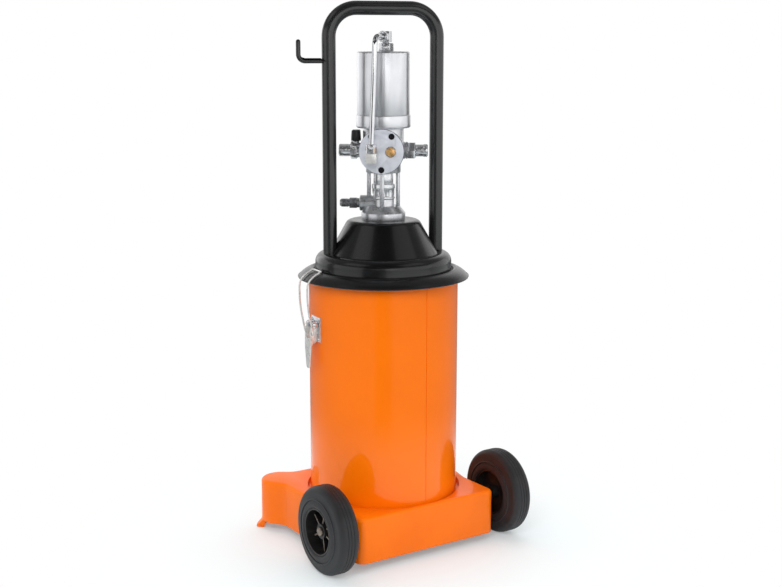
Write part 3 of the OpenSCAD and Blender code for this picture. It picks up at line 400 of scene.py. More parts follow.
@contextmanager
def editing(piece: Piece, mode: str = "VERT", action: str = "DESELECT") -> Iterator[None]:
    """Opens a piece in edit mode and closes it again.

    Args:
        piece: the object to edit.
        mode: the kind of element that is selected.
        action: whether all of them start selected or not.

    Yields:
        Nothing; the piece is open inside the block.
    """
    activate(piece)
    bpy.ops.object.mode_set(mode="EDIT")
    bpy.ops.mesh.select_mode(type=mode)
    bpy.ops.mesh.select_all(action=action)
    yield
    bpy.ops.object.mode_set(mode="OBJECT")


def face_out() -> None:
    """Turns all faces of the open piece outward."""
    bpy.ops.mesh.select_all(action="SELECT")
    bpy.ops.mesh.normals_make_consistent(inside=False)


def fresh(name: str, add: Callable[..., object], **settings: object) -> Piece:
    """Adds a new object and names it.

    Args:
        name: the new object's name.
        add: the operator that adds it.
        settings: what the operator is told.

    Returns:
        The new object.
    """
    bpy.ops.object.select_all(action="DESELECT")
    add(**settings)
    bpy.context.object.name = name
    return bpy.context.object


def pick(piece: Piece, test: FaceTest) -> None:
    """Selects the faces of an open piece that pass a test.

    Args:
        piece: an object in edit mode.
        test: says which faces are wanted.
    """
    mesh = bmesh.from_edit_mesh(piece.data)
    for face in mesh.faces:
        face.select_set(test(face.calc_center_median(), face.normal))
    bmesh.update_edit_mesh(piece.data)


def lathe(name: str, profile: Profile, steps: int) -> Piece:
    """Turns a profile about the Z axis.

    Args:
        name: the new piece's name.
        profile: distances from the axis and heights in millimetres; a ring ends where it starts.
        steps: number of faces round the axis.

    Returns:
        The turned piece.
    """
    piece = fresh(name, bpy.ops.mesh.primitive_plane_add, size=MM)
    with editing(piece, action="SELECT"):
        bpy.ops.mesh.merge(type="CENTER")
        bpy.ops.transform.translate(value=(profile[0][0] * MM, 0, profile[0][1] * MM))
        for (r0, z0), (r1, z1) in pairwise(profile):
            step = ((r1 - r0) * MM, 0, (z1 - z0) * MM)
            bpy.ops.mesh.extrude_vertices_move(TRANSFORM_OT_translate={"value": step})
        bpy.ops.mesh.select_all(action="SELECT")
        bpy.ops.mesh.spin(steps=steps, angle=math.tau, center=(0, 0, 0), axis=(0, 0, 1))
        bpy.ops.mesh.select_all(action="SELECT")
        bpy.ops.mesh.remove_doubles(threshold=WELD)
        face_out()
    return piece


@dataclass(frozen=True)
class Run:
    """A straight run of a tube.

    Attributes:
        way: the move in millimetres.
    """

    way: Point

    def extend(self) -> None:
        """Draws the open end of the tube along the run."""
        step = tuple(c * MM for c in self.way)
        bpy.ops.mesh.extrude_region_move(TRANSFORM_OT_translate={"value": step})


@dataclass(frozen=True)
class Bend:
    """A bend of a tube by a quarter turn.

    Attributes:
        centre: centre of the bend in millimetres.
        axis: axis that the open end turns about.
        steps: number of rings in the bend.
    """

    centre: Point
    axis: Point
    steps: int = 16

    def extend(self) -> None:
        """Spins the open end of the tube round the bend."""
        centre = tuple(c * MM for c in self.centre)
        bpy.ops.mesh.spin(steps=self.steps, angle=math.pi / 2, center=centre, axis=self.axis)


def tube(name: str, start: Point, lie: float, radius: float, legs: Sequence[Run | Bend],
         sides: int = 48) -> Piece:
    """Draws a round bar from a circle along runs and bends.

    Args:
        name: the new piece's name.
        start: centre of the first ring in millimetres.
        lie: turn of the first ring about Y in degrees.
        radius: radius of the bar in millimetres.
        legs: runs and bends in order.
        sides: number of faces round the bar.

    Returns:
        The closed bar.
    """
    piece = fresh(name, bpy.ops.mesh.primitive_circle_add, vertices=sides, radius=radius * MM)
    piece.data.transform(Matrix.Translation(Vector(start) * MM)
                         @ Matrix.Rotation(math.radians(lie), 4, "Y"))
    with editing(piece, "EDGE", "SELECT"):
        for leg in legs:
            leg.extend()
        bpy.ops.mesh.select_all(action="SELECT")
        bpy.ops.mesh.remove_doubles(threshold=WELD)
        bpy.ops.mesh.select_all(action="DESELECT")
        bpy.ops.mesh.select_non_manifold()
        bpy.ops.mesh.fill_holes(sides=0)
        face_out()
    return piece


def hexagon(name: str, flats: float, low: float, high: float, edge: float) -> Piece:
    """Models a hexagon along Z with chamfered corners.

    Args:
        name: the new piece's name.
        flats: width across the flats in millimetres.
        low: lower end in millimetres.
        high: upper end in millimetres.
        edge: height of the chamfer in millimetres.

    Returns:
        The hexagon.
    """
    piece = fresh(name, bpy.ops.mesh.primitive_cylinder_add, vertices=6,
                  radius=flats / 2 / math.cos(math.pi / 6) * MM, depth=(high - low) * MM)
    piece.data.transform(Matrix.Translation((0, 0, (low + high) / 2 * MM)))
    with editing(piece, "FACE"):
        pick(piece, lambda at, out: abs(out.z) > SQUARE)
        bpy.ops.mesh.bevel(offset=edge * MM, segments=2, affect="EDGES")
        face_out()
    return piece


def join(name: str, *pieces: Piece) -> Piece:
    """Joins closed bodies into one piece.

    Args:
        name: name of the joined piece.
        pieces: the bodies to join.

    Returns:
        The joined piece.
    """
    activate(pieces[0])
    for piece in pieces[1:]:
        piece.select_set(True)
    bpy.ops.object.join()
    pieces[0].name = name
    return pieces[0]


def twin(piece: Piece, name: str) -> Piece:
    """Copies a piece with a mesh of its own.

    Args:
        piece: the object to copy.
        name: the copy's name.

    Returns:
        The copy.
    """
    activate(piece)
    bpy.ops.object.duplicate(linked=False)
    copy = bpy.context.object
    copy.name = name
    return copy


def apply(piece: Piece, kind: str, settings: dict[str, object]) -> None:
    """Adds a modifier to a piece and applies it.

    Args:
        piece: the object to change.
        kind: the modifier's type.
        settings: properties of the modifier.
    """
    activate(piece)
    modifier = piece.modifiers.new(kind.lower(), kind)
    for name, value in settings.items():
        setattr(modifier, name, value)
    bpy.ops.object.modifier_apply(modifier=modifier.name)


def soften(piece: Piece, edge: Edge, smooth: float = SMOOTH) -> None:
    """Rounds the sharp edges of a piece and smooths its shading.

    Args:
        piece: the object to soften.
        edge: width of the rounding.
        smooth: largest angle in degrees that is shaded smooth.
    """
    if edge is not Edge.NONE:
        apply(piece, "BEVEL", {
            "width": edge.value * MM, "segments": 2, "limit_method": "ANGLE",
            "angle_limit": math.radians(SHARP), "use_clamp_overlap": True,
        })
        with editing(piece, action="SELECT"):
            bpy.ops.mesh.remove_doubles(threshold=WELD)
            bpy.ops.mesh.dissolve_degenerate(threshold=WELD)
    activate(piece)
    bpy.ops.object.shade_smooth_by_angle(angle=math.radians(smooth))


def install(piece: Piece, finish: Finish, place: Matrix | None, *nodes: str) -> None:
    """Puts a piece in its place and lets it stand for CAD nodes.

    Args:
        piece: the finished piece.
        finish: the finish that it gets.
        place: where its mesh goes, or None when it is there already.
        nodes: the CAD nodes that it stands for.
    """
    if place:
        piece.data.transform(place)
    piece.data.materials.clear()
    piece.data.materials.append(finish.material())
    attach(piece, BODY_OF[nodes[0]])
    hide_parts(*nodes)
    log.info("%s: %d faces in %s", piece.name, len(piece.data.polygons), finish.title)


def accent(piece: Piece, finish: Finish, test: FaceTest) -> None:
    """Gives some faces of a finished piece a finish of their own.

    Args:
        piece: the object to change.
        finish: the second finish.
        test: says which faces are wanted.
    """
    with editing(piece, "FACE"):
        pick(piece, test)
        bpy.ops.object.material_slot_add()
        piece.active_material = finish.material()
        bpy.ops.object.material_slot_assign()


def merged(node: str, edge: Edge, smooth: float = SMOOTH) -> Piece:
    """Copies a CAD node with merged facets, rounded edges and smooth shading.

    Args:
        node: the CAD node's name.
        edge: width of the edge rounding.
        smooth: largest angle in degrees that is shaded smooth.

    Returns:
        The copy, not yet installed.
    """
    source = frame["nodes"][node]
    mesh = source.data.copy()
    mesh.transform(source.matrix_world)
    piece = bpy.data.objects.new(node + "_look", mesh)
    bpy.context.scene.collection.objects.link(piece)
    with editing(piece, action="SELECT"):
        bpy.ops.mesh.remove_doubles(threshold=WELD)
        bpy.ops.mesh.dissolve_limited(angle_limit=math.radians(FLAT))
        face_out()
    soften(piece, edge, smooth)
    return piece


def refine(finish: Finish, edge: Edge, *nodes: str, smooth: float = SMOOTH) -> None:
    """Shows merged copies of CAD nodes in their place.

    Args:
        finish: the finish that they get.
        edge: width of the edge rounding.
        nodes: names of the CAD nodes.
        smooth: largest angle in degrees that is shaded smooth.
    """
    for node in nodes:
        install(merged(node, edge, smooth), finish, None, node)


def paint(finish: Finish, *nodes: str) -> None:
    """Gives CAD nodes that show as they are their finish.

    Args:
        finish: the finish that they get.
        nodes: names of the CAD nodes.
    """
    for node in nodes:
        mesh = frame["nodes"][node].data
        mesh.materials.clear()
        mesh.materials.append(finish.material())
        log.info("%s: CAD solid in %s", node, finish.title)


def spot(node: str) -> Vector:
    """Finds the middle of a CAD node's box.

    Args:
        node: the CAD node's name.

    Returns:
        The middle of the box in metres.
    """
    low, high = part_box(node)
    return (low + high) / 2


AXIS = spot("lid")
DRUM_PLACE = Matrix.Translation((AXIS.x, AXIS.y, 0))
HANDLE_PLACE = DRUM_PLACE @ Matrix.Rotation(math.radians(HANDLE_TURN), 4, "Z")
PUMP_PLACE = (Matrix.Translation((AXIS.x, AXIS.y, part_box("lid")[1].z))
              @ Matrix.Rotation(math.radians(PUMP_TURN), 4, "Z"))


def port(side: Side, height: float) -> Matrix:
    """Finds the place of a fitting that points sideways from the pump axis.

    Args:
        side: the side that it points to.
        height: height of its axis over the lid in millimetres.

    Returns:
        A place whose Z axis runs out of the pump.
    """
    return PUMP_PLACE @ Matrix.Translation((0, 0, height * MM)) @ side.outward()


@dataclass
class Wheels:
    """Pair of solid-tyred wheels.

    Attributes:
        rim_r: inner radius of the tyre.
        outer_r: outer radius of the tyre.
        half: half width of the tread.
        bulge: bulge of the side walls around the rim.
        bead: width of the slope from rim to bulge.
        shoulder: rounding between tread and side wall.
        ring_r: radius of the raised ring on the side wall.
        ring_edge: rounding of that ring.
        ring_sink: how deep its centre lies.
        grooves: places of the tread lines across the tread.
        groove: depth and distance from the middle, across one tread line.
        ribs: nearest and furthest reach of the ribs' front edges from the wheel's middle.
        rib_face: least outward share of these edges' normals.
    """

    rim_r: float = 36.0
    outer_r: float = 66.5
    half: float = 16.5
    bulge: float = 4.0
    bead: float = 4.0
    shoulder: float = 9.5
    ring_r: float = 48.0
    ring_edge: float = 1.4
    ring_sink: float = 0.6
    grooves: tuple[float, ...] = (5.0, 0.0, -5.0)
    groove: Profile = ((0.0, 0.5), (0.6, 0.3), (0.6, -0.3), (0.0, -0.5))
    ribs: Pair = (4.5, 10.0)
    rib_face: float = 0.3

    def build(self) -> None:
        """Models tyres and rims."""
        self.tyres()
        self.rims()

    def tyres(self) -> None:
        """Turns one tyre with its tread lines and side rings, and copies it for the other side."""
        face = self.half + self.bulge
        wall = [(self.rim_r, face - self.bead / 2),
                (self.rim_r + self.bead / 2, face - self.bead / 10),
                (self.rim_r + self.bead, face)]
        wall += arc((self.ring_r, self.half + self.bulge / 2 - self.ring_sink), self.ring_edge,
                    180, 0, 8)
        wall += arc((self.outer_r - self.shoulder, self.half - self.shoulder), self.shoulder,
                    90, 0, 14)
        tread = [(self.outer_r - deep, z + off) for z in self.grooves for deep, off in self.groove]
        back = [(r, -z) for r, z in reversed(wall)]
        tyre = lathe("tyre_left_rubber", [*wall, *tread, *back, wall[0]], steps=144)
        soften(tyre, Edge.NONE)
        pair = {Side.LEFT: tyre, Side.RIGHT: twin(tyre, "tyre_right_rubber")}
        for side, piece in pair.items():
            node = side.node("tyre")
            install(piece, TYRE_RUBBER, Matrix.Translation(spot(node)) @ side.outward(), node)

    def rims(self) -> None:
        """Softens one rim, copies it and paints a grey highlight on the front edges of the ribs."""
        left, right = (side.node("wheel_rim") for side in Side)
        rim = merged(left, Edge.CAST)
        across = (Matrix.Translation(spot(right)) @ Matrix.Rotation(math.pi, 4, "Y")
                  @ Matrix.Translation(-spot(left)))
        near, far = self.ribs
        pair = ((Side.LEFT, rim, None), (Side.RIGHT, twin(rim, right + "_look"), across))
        for side, piece, place in pair:
            install(piece, RIM_PLASTIC, place, side.node("wheel_rim"))
            out = Vector((side.value, 0, 0))
            middle = spot(side.node("tyre"))
            # The ribs' front edges get a painted grey highlight
            accent(piece, RIB_HIGHLIGHT, lambda at, normal: (
                normal.dot(out) > self.rib_face
                and near * MM < (at - middle).dot(out) < far * MM))


@dataclass
class Drum:
    """Sheet-metal drum with a curled rim and a welded seam.

    Attributes:
        radius: outer radius.
        wall: sheet thickness.
        low: height of the bottom.
        high: height of the curl's centre.
        corner: rounding at the bottom.
        curl_r: radius of the curl.
        curl_arc: angles where the curl leaves the wall and where it ends.
        seam_w: width of the strip of sheet that the seam is pressed into.
        seam_depth: depth of the seam line.
        seam_edge: what the seam leaves on each side of its strip of sheet.
    """

    radius: float = 115.0
    wall: float = 1.2
    low: float = 74.5
    high: float = 420.9
    corner: float = 7.0
    curl_r: float = 2.6
    curl_arc: Pair = (242.5, 517.0)
    seam_w: float = 2.0
    seam_depth: float = 0.8
    seam_edge: float = 0.4

    def build(self) -> None:
        """Turns the shell and presses the seam into its front."""
        foot = (self.radius - self.corner, self.low + self.corner)
        profile = [(0.0, self.low), *arc(foot, self.corner, 270, 360, 10)]
        profile += arc((self.radius + self.wall, self.high), self.curl_r, *self.curl_arc, 20)
        profile += arc(foot, self.corner - self.wall, 360, 270, 8)
        profile.append((0.0, self.low + self.wall))
        drum = lathe("drum_shell", profile, steps=360)
        with editing(drum, "FACE"):
            pick(drum, lambda at, out: out.y < -SQUARE and 0 < at.x < self.seam_w * MM
                 and abs(at.z - (self.low + self.high) / 2 * MM) < self.corner * MM)
            bpy.ops.mesh.inset(thickness=self.seam_edge * MM)
            bpy.ops.mesh.extrude_region_shrink_fatten(
                TRANSFORM_OT_shrink_fatten={"value": -self.seam_depth * MM})
            # One slot for the shell, and a second for the seam groove, which gets painted shade
            bpy.ops.object.material_slot_add()
            bpy.ops.object.material_slot_add()
            bpy.ops.object.material_slot_assign()
        soften(drum, Edge.NONE)
        install(drum, ORANGE_ENAMEL, DRUM_PLACE, "drum")
        # The seam groove's second finish is painted shade, darker than the shell
        drum.data.materials.append(SEAM_SHADE_ENAMEL.material())


@dataclass
class Lid:
    """Pressed lid with dome, bead and brim.

    Attributes:
        hole_r: radius of the pump hole.
        top: height of the dome top.
        flat_r: radius of the flat top.
        top_edge: rounding of the flat top.
        dome_r: radius of the dome's foot.
        bead_r: outer radius of the bead.
        bead_top: height of the bead.
        bead_edge: rounding of the bead.
        crest: radius and height of the brim's crest.
        crest_edge: rounding of the crest.
        brim_arc: radius of the brim's fall.
        brim_r: outer radius of the brim.
        sheet: sheet thickness.
    """

    hole_r: float = 16.4
    top: float = 505.0
    flat_r: float = 49.0
    top_edge: float = 10.0
    dome_r: float = 83.0
    bead_r: float = 104.7
    bead_top: float = 455.5
    bead_edge: float = 14.0
    crest: Pair = (111.3, 431.5)
    crest_edge: float = 4.0
    brim_arc: float = 38.0
    brim_r: float = 132.0
    sheet: float = 1.6

    def outline(self) -> list[Pair]:
        """Lists the lid's top surface from the pump hole to the brim.

        Returns:
            Distances from the axis and heights in millimetres.
        """
        # The bare numbers are angles where arcs meet and small steps of the pressing
        crest_r, crest_z = self.crest
        foot = self.bead_top - 1
        lean = math.degrees(math.atan2(self.dome_r - self.flat_r - 9.3, self.top - foot - 8))
        fall = self.brim_arc - self.crest_edge
        brim = (self.brim_r - 0.4 - self.brim_arc * math.cos(math.radians(38)),
                crest_z - self.crest_edge - fall * math.sin(math.radians(75)))
        return [
            (self.hole_r, self.top),
            *arc((self.flat_r, self.top - self.top_edge), self.top_edge, 90, lean, 12),
            *arc((self.dome_r + 1.6, foot + 1.6), 2.4, 180 + lean, 292, 8),
            *arc((self.bead_r - self.bead_edge - 3, self.bead_top - 3), 3, 112, 90, 4),
            *arc((self.bead_r - self.bead_edge, self.bead_top - self.bead_edge),
                 self.bead_edge, 90, 0, 18),
            (self.bead_r, crest_z - 3),
            (self.bead_r + 1.8, crest_z - 5.2),
            *arc((crest_r, crest_z - self.crest_edge), self.crest_edge, 150, 75, 10),
            *arc(brim, self.brim_arc, 73, 41, 12),
            (self.brim_r, crest_z - 12.8),
        ]

    def build(self) -> None:
        """Turns the top surface and gives it the sheet's thickness."""
        lid = lathe("lid_pressing", self.outline(), steps=240)
        with editing(lid, "FACE", "SELECT"):
            if max(lid.data.polygons, key=lambda f: f.center.z).normal.z < 0:
                bpy.ops.mesh.flip_normals()
        apply(lid, "SOLIDIFY", {"thickness": self.sheet * MM, "offset": -1.0})
        soften(lid, Edge.FINE, BROAD_SMOOTH)
        install(lid, BLACK_ENAMEL, DRUM_PLACE, "lid")


@dataclass
class Handle:
    """Bent push handle with its hose hook.

    Attributes:
        radius: radius of the tube.
        leg_r: distance of a leg from the drum axis.
        foot: height where the legs start in the bead.
        top: height of the tube's centre line across the top.
        bend_r: radius of the bends.
        hook_r: radius of the hook rod.
        hook_z: height of the hook.
        hook_reach: reach of the hook from the leg.
        hook_tip: height of the hook's end.
        hook_turn: radius of the hook's bend.
        hook_round: rounding of the hook's end.
    """

    radius: float = 10.5
    leg_r: float = 84.0
    foot: float = 452.0
    top: float = 821.5
    bend_r: float = 42.5
    hook_r: float = 3.5
    hook_z: float = 744.0
    hook_reach: float = 46.0
    hook_tip: float = 775.5
    hook_turn: float = 10.0
    hook_round: float = 3.325

    def build(self) -> None:
        """Bends the tube and the hook and rounds the hook's end."""
        rise = self.top - self.bend_r - self.foot
        inner = self.leg_r - self.bend_r
        bow = tube("handle_tube", (self.leg_r, 0, self.foot), 0, self.radius, [
            Run((0, 0, rise)),
            Bend((inner, 0, self.top - self.bend_r), (0, 1, 0)),
            Run((-2 * inner, 0, 0)),
            Bend((-inner, 0, self.top - self.bend_r), (0, 1, 0)),
            Run((0, 0, -rise)),
        ])
        soften(bow, Edge.NONE)
        install(bow, BLACK_POWDER, HANDLE_PLACE, "handle")
        start = self.leg_r + self.radius - 1
        out = self.leg_r + self.hook_reach
        hook = tube("hose_hook_rod", (-start, 0, self.hook_z), 90, self.hook_r, [
            Run((start - out + self.hook_turn, 0, 0)),
            Bend((self.hook_turn - out, 0, self.hook_z + self.hook_turn), (0, -1, 0)),
            Run((0, 0, self.hook_tip - self.hook_z - self.hook_turn)),
        ], sides=32)
        with editing(hook, "FACE"):
            pick(hook, lambda at, to: to.z > SQUARE)
            bpy.ops.mesh.bevel(offset=self.hook_round * MM, segments=6, affect="EDGES")
        soften(hook, Edge.NONE)
        install(hook, BLACK_POWDER, HANDLE_PLACE, "hose_hook")


@dataclass
class GreaseOutlet:
    """Hose fitting of the grease outlet.

    Attributes:
        outlet_z: height of the outlet over the lid.
        thread_r: outer radius of the outlet thread.
        thread_z: where the thread starts along the fitting.
        pitch: pitch of the thread.
        turns: number of its turns.
        crest: depth and advance along one turn.
    """

    outlet_z: float = 25.0
    thread_r: float = 6.6
    thread_z: float = 54.2
    pitch: float = 1.5
    turns: int = 6
    crest: Profile = ((0.0, 0.0), (0.0, 0.4), (0.7, 0.9), (0.7, 1.1))

    def build(self) -> None:
        """Turns the outlet fitting with its thread and adds the hexagon."""
        thread = [
            (self.thread_r - deep, self.thread_z + turn * self.pitch + along)
            for turn in range(self.turns)
            for deep, along in self.crest
        ]
        body = lathe("outlet_body_turned", [
            (3.0, 24.4), (5.0, 24.4), (5.0, 36.0), (6.8, 36.0), (7.2, 36.4), (7.2, 40.0),
            (6.2, 40.4), (6.2, 51.6), (5.6, 51.8), (5.6, 53.4), *thread,
            (self.thread_r, 63.4), (4.4, 66.6), (3.0, 66.6), (3.0, 24.4)], steps=48)
        grip = hexagon("outlet_hexagon", flats=15.2, low=40.2, high=51.8, edge=0.7)
        fitting = join("outlet_fitting", body, grip)
        soften(fitting, Edge.NONE)
        install(fitting, DARK_STEEL, port(Side.LEFT, self.outlet_z), "outlet_adapter")


@dataclass
class ValveFittings:
    """Air inlet, silencer and plug of the valve housing.

    Attributes:
        port_z: height of the side ports over the lid.
        nipple_r: radius of the air inlet nipple.
        silencer_r: radius of the silencer.
        plug: place of the plug on the cover's face.
        washer_top: height of the plug's plated washer over that face.
    """

    port_z: float = 105.5
    nipple_r: float = 9.4
    silencer_r: float = 9.7
    plug: Point = (14.2, -40.4, 105.85)
    washer_top: float = 1.85

    def build(self) -> None:
        """Turns the air nipple, the silencer and the plug in the cover."""
        r = self.nipple_r
        nipple = lathe("air_nipple", [
            (4.0, 44.4), (6.0, 44.4), (6.0, 49.5), (r - 0.5, 49.5), (r, 50.0), (r, 51.4),
            (r - 0.5, 51.8), (r - 0.5, 52.4), (r, 52.8), *arc((r - 2.2, 65.6), 2.2, 0, 90, 8),
            (5.0, 67.8), (4.0, 66.8), (4.0, 44.4)], steps=64)
        soften(nipple, Edge.NONE)
        install(nipple, ZINC_STEEL, port(Side.LEFT, self.port_z), "inlet_nipple")
        s = self.silencer_r
        body = lathe("silencer_turned", [
            (4.0, 37.7), (9.0, 37.7), (9.0, 48.4), (s - 0.6, 48.6), (s - 0.6, 60.4),
            (s - 0.2, 60.8), (s - 0.2, 61.6), (s, 62.0), (s, 65.6), (s - 1.4, 67.3),
            (5.0, 67.3), (4.0, 66.0), (4.0, 37.7)], steps=64)
        grip = hexagon("silencer_hexagon", flats=23.4, low=37.6, high=48.8, edge=1.0)
        silencer = join("exhaust_silencer", body, grip)
        soften(silencer, Edge.NONE)
        install(silencer, ZINC_STEEL, port(Side.RIGHT, self.port_z), "silencer")
        washer = lathe("plug_washer", [
            (0.0, -3.4), (5.5, -3.4), (5.5, 0.0), (8.2, 0.0), (8.2, 1.2), (7.6, 1.8),
            (0.0, 1.8)], steps=48)
        head = hexagon("plug_head", flats=12.6, low=1.6, high=5.7, edge=0.9)
        plug = join("brass_plug", washer, head)
        soften(plug, Edge.NONE)
        place = (PUMP_PLACE @ Matrix.Translation(Vector(self.plug) * MM)
                 @ Matrix.Rotation(math.radians(90), 4, "X"))
        install(plug, BRASS, place, "cover_plug")
        back = place.inverted()
        accent(plug, ZINC_STEEL, lambda at, normal: (back @ at).z < self.washer_top * MM)


@dataclass
class AirPipe:
    """Outside air pipe.

    Attributes:
        radius: radius of the pipe.
        foot: lower end of the pipe.
        lean: sideways and upward run to the bend.
        bend_r: radius of the bend.
        arm: direction of the level arm.
        arm_len: length of the level arm behind the bend.
    """

    radius: float = 4.0
    foot: Point = (-14.2, -51.0, 112.05)
    lean: Point = (5.7, 0.0, 150.45)
    bend_r: float = 12.0
    arm: Pair = (0.2337, 0.9723)
    arm_len: float = 28.88

    def build(self) -> None:
        """Draws the pipe up, round its bend and along the arm."""
        top = Vector(self.foot) + Vector(self.lean)
        along = Vector((*self.arm, 0.0))
        pipe = tube("air_pipe_bent", self.foot, 0, self.radius, [
            Run(self.lean),
            Bend(tuple(top + along * self.bend_r), tuple(along.cross((0, 0, 1)))),
            Run(tuple(along * self.arm_len)),
        ], sides=32)
        soften(pipe, Edge.NONE)
        install(pipe, CHROME, PUMP_PLACE, "air_pipe")


class Trim:
    """Pieces that keep their CAD shape."""

    def build(self) -> None:
        """Shows softened copies of the outer pieces and finishes the others as they are."""
        refine(ORANGE_MOULDING, Edge.MOULDED, "base_shell", smooth=BROAD_SMOOTH)
        refine(BLACK_PLASTIC, Edge.MOULDED, "valve_lever")
        refine(BLACK_PLASTIC, Edge.TURNED, "axle_spacers")
        refine(BARE_STEEL, Edge.FINE, "axle_caps")
        refine(CAST_ALLOY, Edge.CAST, "outlet_body", "valve_housing")
        refine(CAST_ALLOY, Edge.FINE, "tie_rods")
        refine(TURNED_ALLOY, Edge.TURNED, "cylinder_can", "cylinder_base")
        refine(SATIN_PLATE, Edge.FINE, "valve_cover")
        refine(SEAL_RUBBER, Edge.GASKET, "valve_gasket")
        refine(BLACK_OXIDE, Edge.SCREW, "cover_screws")
        refine(DARK_STEEL, Edge.PRESSED, "exhaust_adapter")
        refine(PALE_NICKEL, Edge.CAST, "lower_elbow")
        refine(ZINC_STEEL, Edge.TURNED, "upper_elbow")
        refine(ZINC_STEEL, Edge.PRESSED, "ball_valve_body")
        refine(ZINC_STEEL, Edge.FINE, "gland_tube", "gland_nut", "lower_pipe_nut",
               "upper_pipe_nut", "top_adapter")
        for side in Side:
            refine(PALE_NICKEL, Edge.PRESSED, side.node("latch_lever"))
            refine(PALE_NICKEL, Edge.NONE, side.node("latch_bail"), smooth=WIRE_SMOOTH)
            refine(ZINC_STEEL, Edge.FINE, side.node("latch_bracket"), side.node("latch_pin"))
        paint(CAST_ALLOY, "air_piston", "follower_plate")
        paint(SEAL_RUBBER, "lid_gasket", "rod_packing", "piston_seal", "follower_seal")
        paint(CHROME, "piston_rod", "check_ball")
        paint(ZINC_STEEL, "axle", "clamp_nut", "plunger", "suction_tube", "foot_valve",
              "latch_rivets")


@dataclass(frozen=True)
class Lamp:
    """A soft box that faces the object.

    Attributes:
        name: the lamp's name.
        swing: its turn from the camera about Z, in degrees.
        out: its level distance from the object in metres.
        height: its height over the floor in metres.
        size: its width and height in metres.
        power: its power in watts.
        mirrored: whether gloss surfaces show it.
        aim: the height that it faces in metres.
    """

    name: str
    swing: float
    out: float
    height: float
    size: Pair
    power: float
    mirrored: bool = True
    aim: float = 0.42

    def hang(self, yaw: float) -> None:
        """Adds the lamp to the studio.

        Args:
            yaw: the camera's turn about Z in degrees.
        """
        angle = math.radians(yaw + self.swing)
        place = Vector((math.sin(angle) * self.out, -math.cos(angle) * self.out, self.height))
        lamp = fresh(self.name, bpy.ops.object.light_add, type="AREA", location=place)
        lamp.data.shape = "RECTANGLE"
        lamp.data.size, lamp.data.size_y = self.size
        lamp.data.energy = self.power
        lamp.rotation_euler = (place - Vector((0, 0, self.aim))).to_track_quat("Z", "Y").to_euler()
        lamp.visible_camera = False
        lamp.visible_glossy = self.mirrored


# A fill lamp by the camera and a box overhead light the object, and gloss surfaces don't show
# them. What they show is a panel and a wing on each side, two dim boxes high up, a dim strip
# behind the camera, so low that only the cylinder and the handle mirror it, and a narrow band at
# eye height, which draws a bright line along level fittings.
LAMPS = (
    Lamp("fill_lamp", -8.0, 2.8, 2.2, (1.8, 1.4), 64.0, mirrored=False),
    Lamp("top_box", 0.0, -0.3, 2.6, (2.2, 2.0), 19.0, mirrored=False),
    Lamp("left_high_box", -62.0, 1.7, 2.4, (1.5, 1.1), 3.6),
    Lamp("right_high_box", 64.0, 1.7, 2.4, (1.7, 1.1), 3.2),
    Lamp("low_strip", 0.0, 2.6, 0.2, (0.7, 0.4), 0.25, aim=0.7),
    Lamp("eye_band", 0.0, 3.0, 0.92, (2.6, 0.22), 3.0, aim=0.6),
    Lamp("left_panel", -62.0, 2.4, 0.8, (2.6, 1.5), 12.0),
    Lamp("left_wing", -130.0, 2.4, 0.8, (2.2, 1.5), 8.0),
    Lamp("right_panel", 45.0, 2.4, 0.8, (4.2, 1.5), 24.0),
    Lamp("right_wing", 112.0, 2.4, 0.8, (2.4, 1.5), 9.0),
)


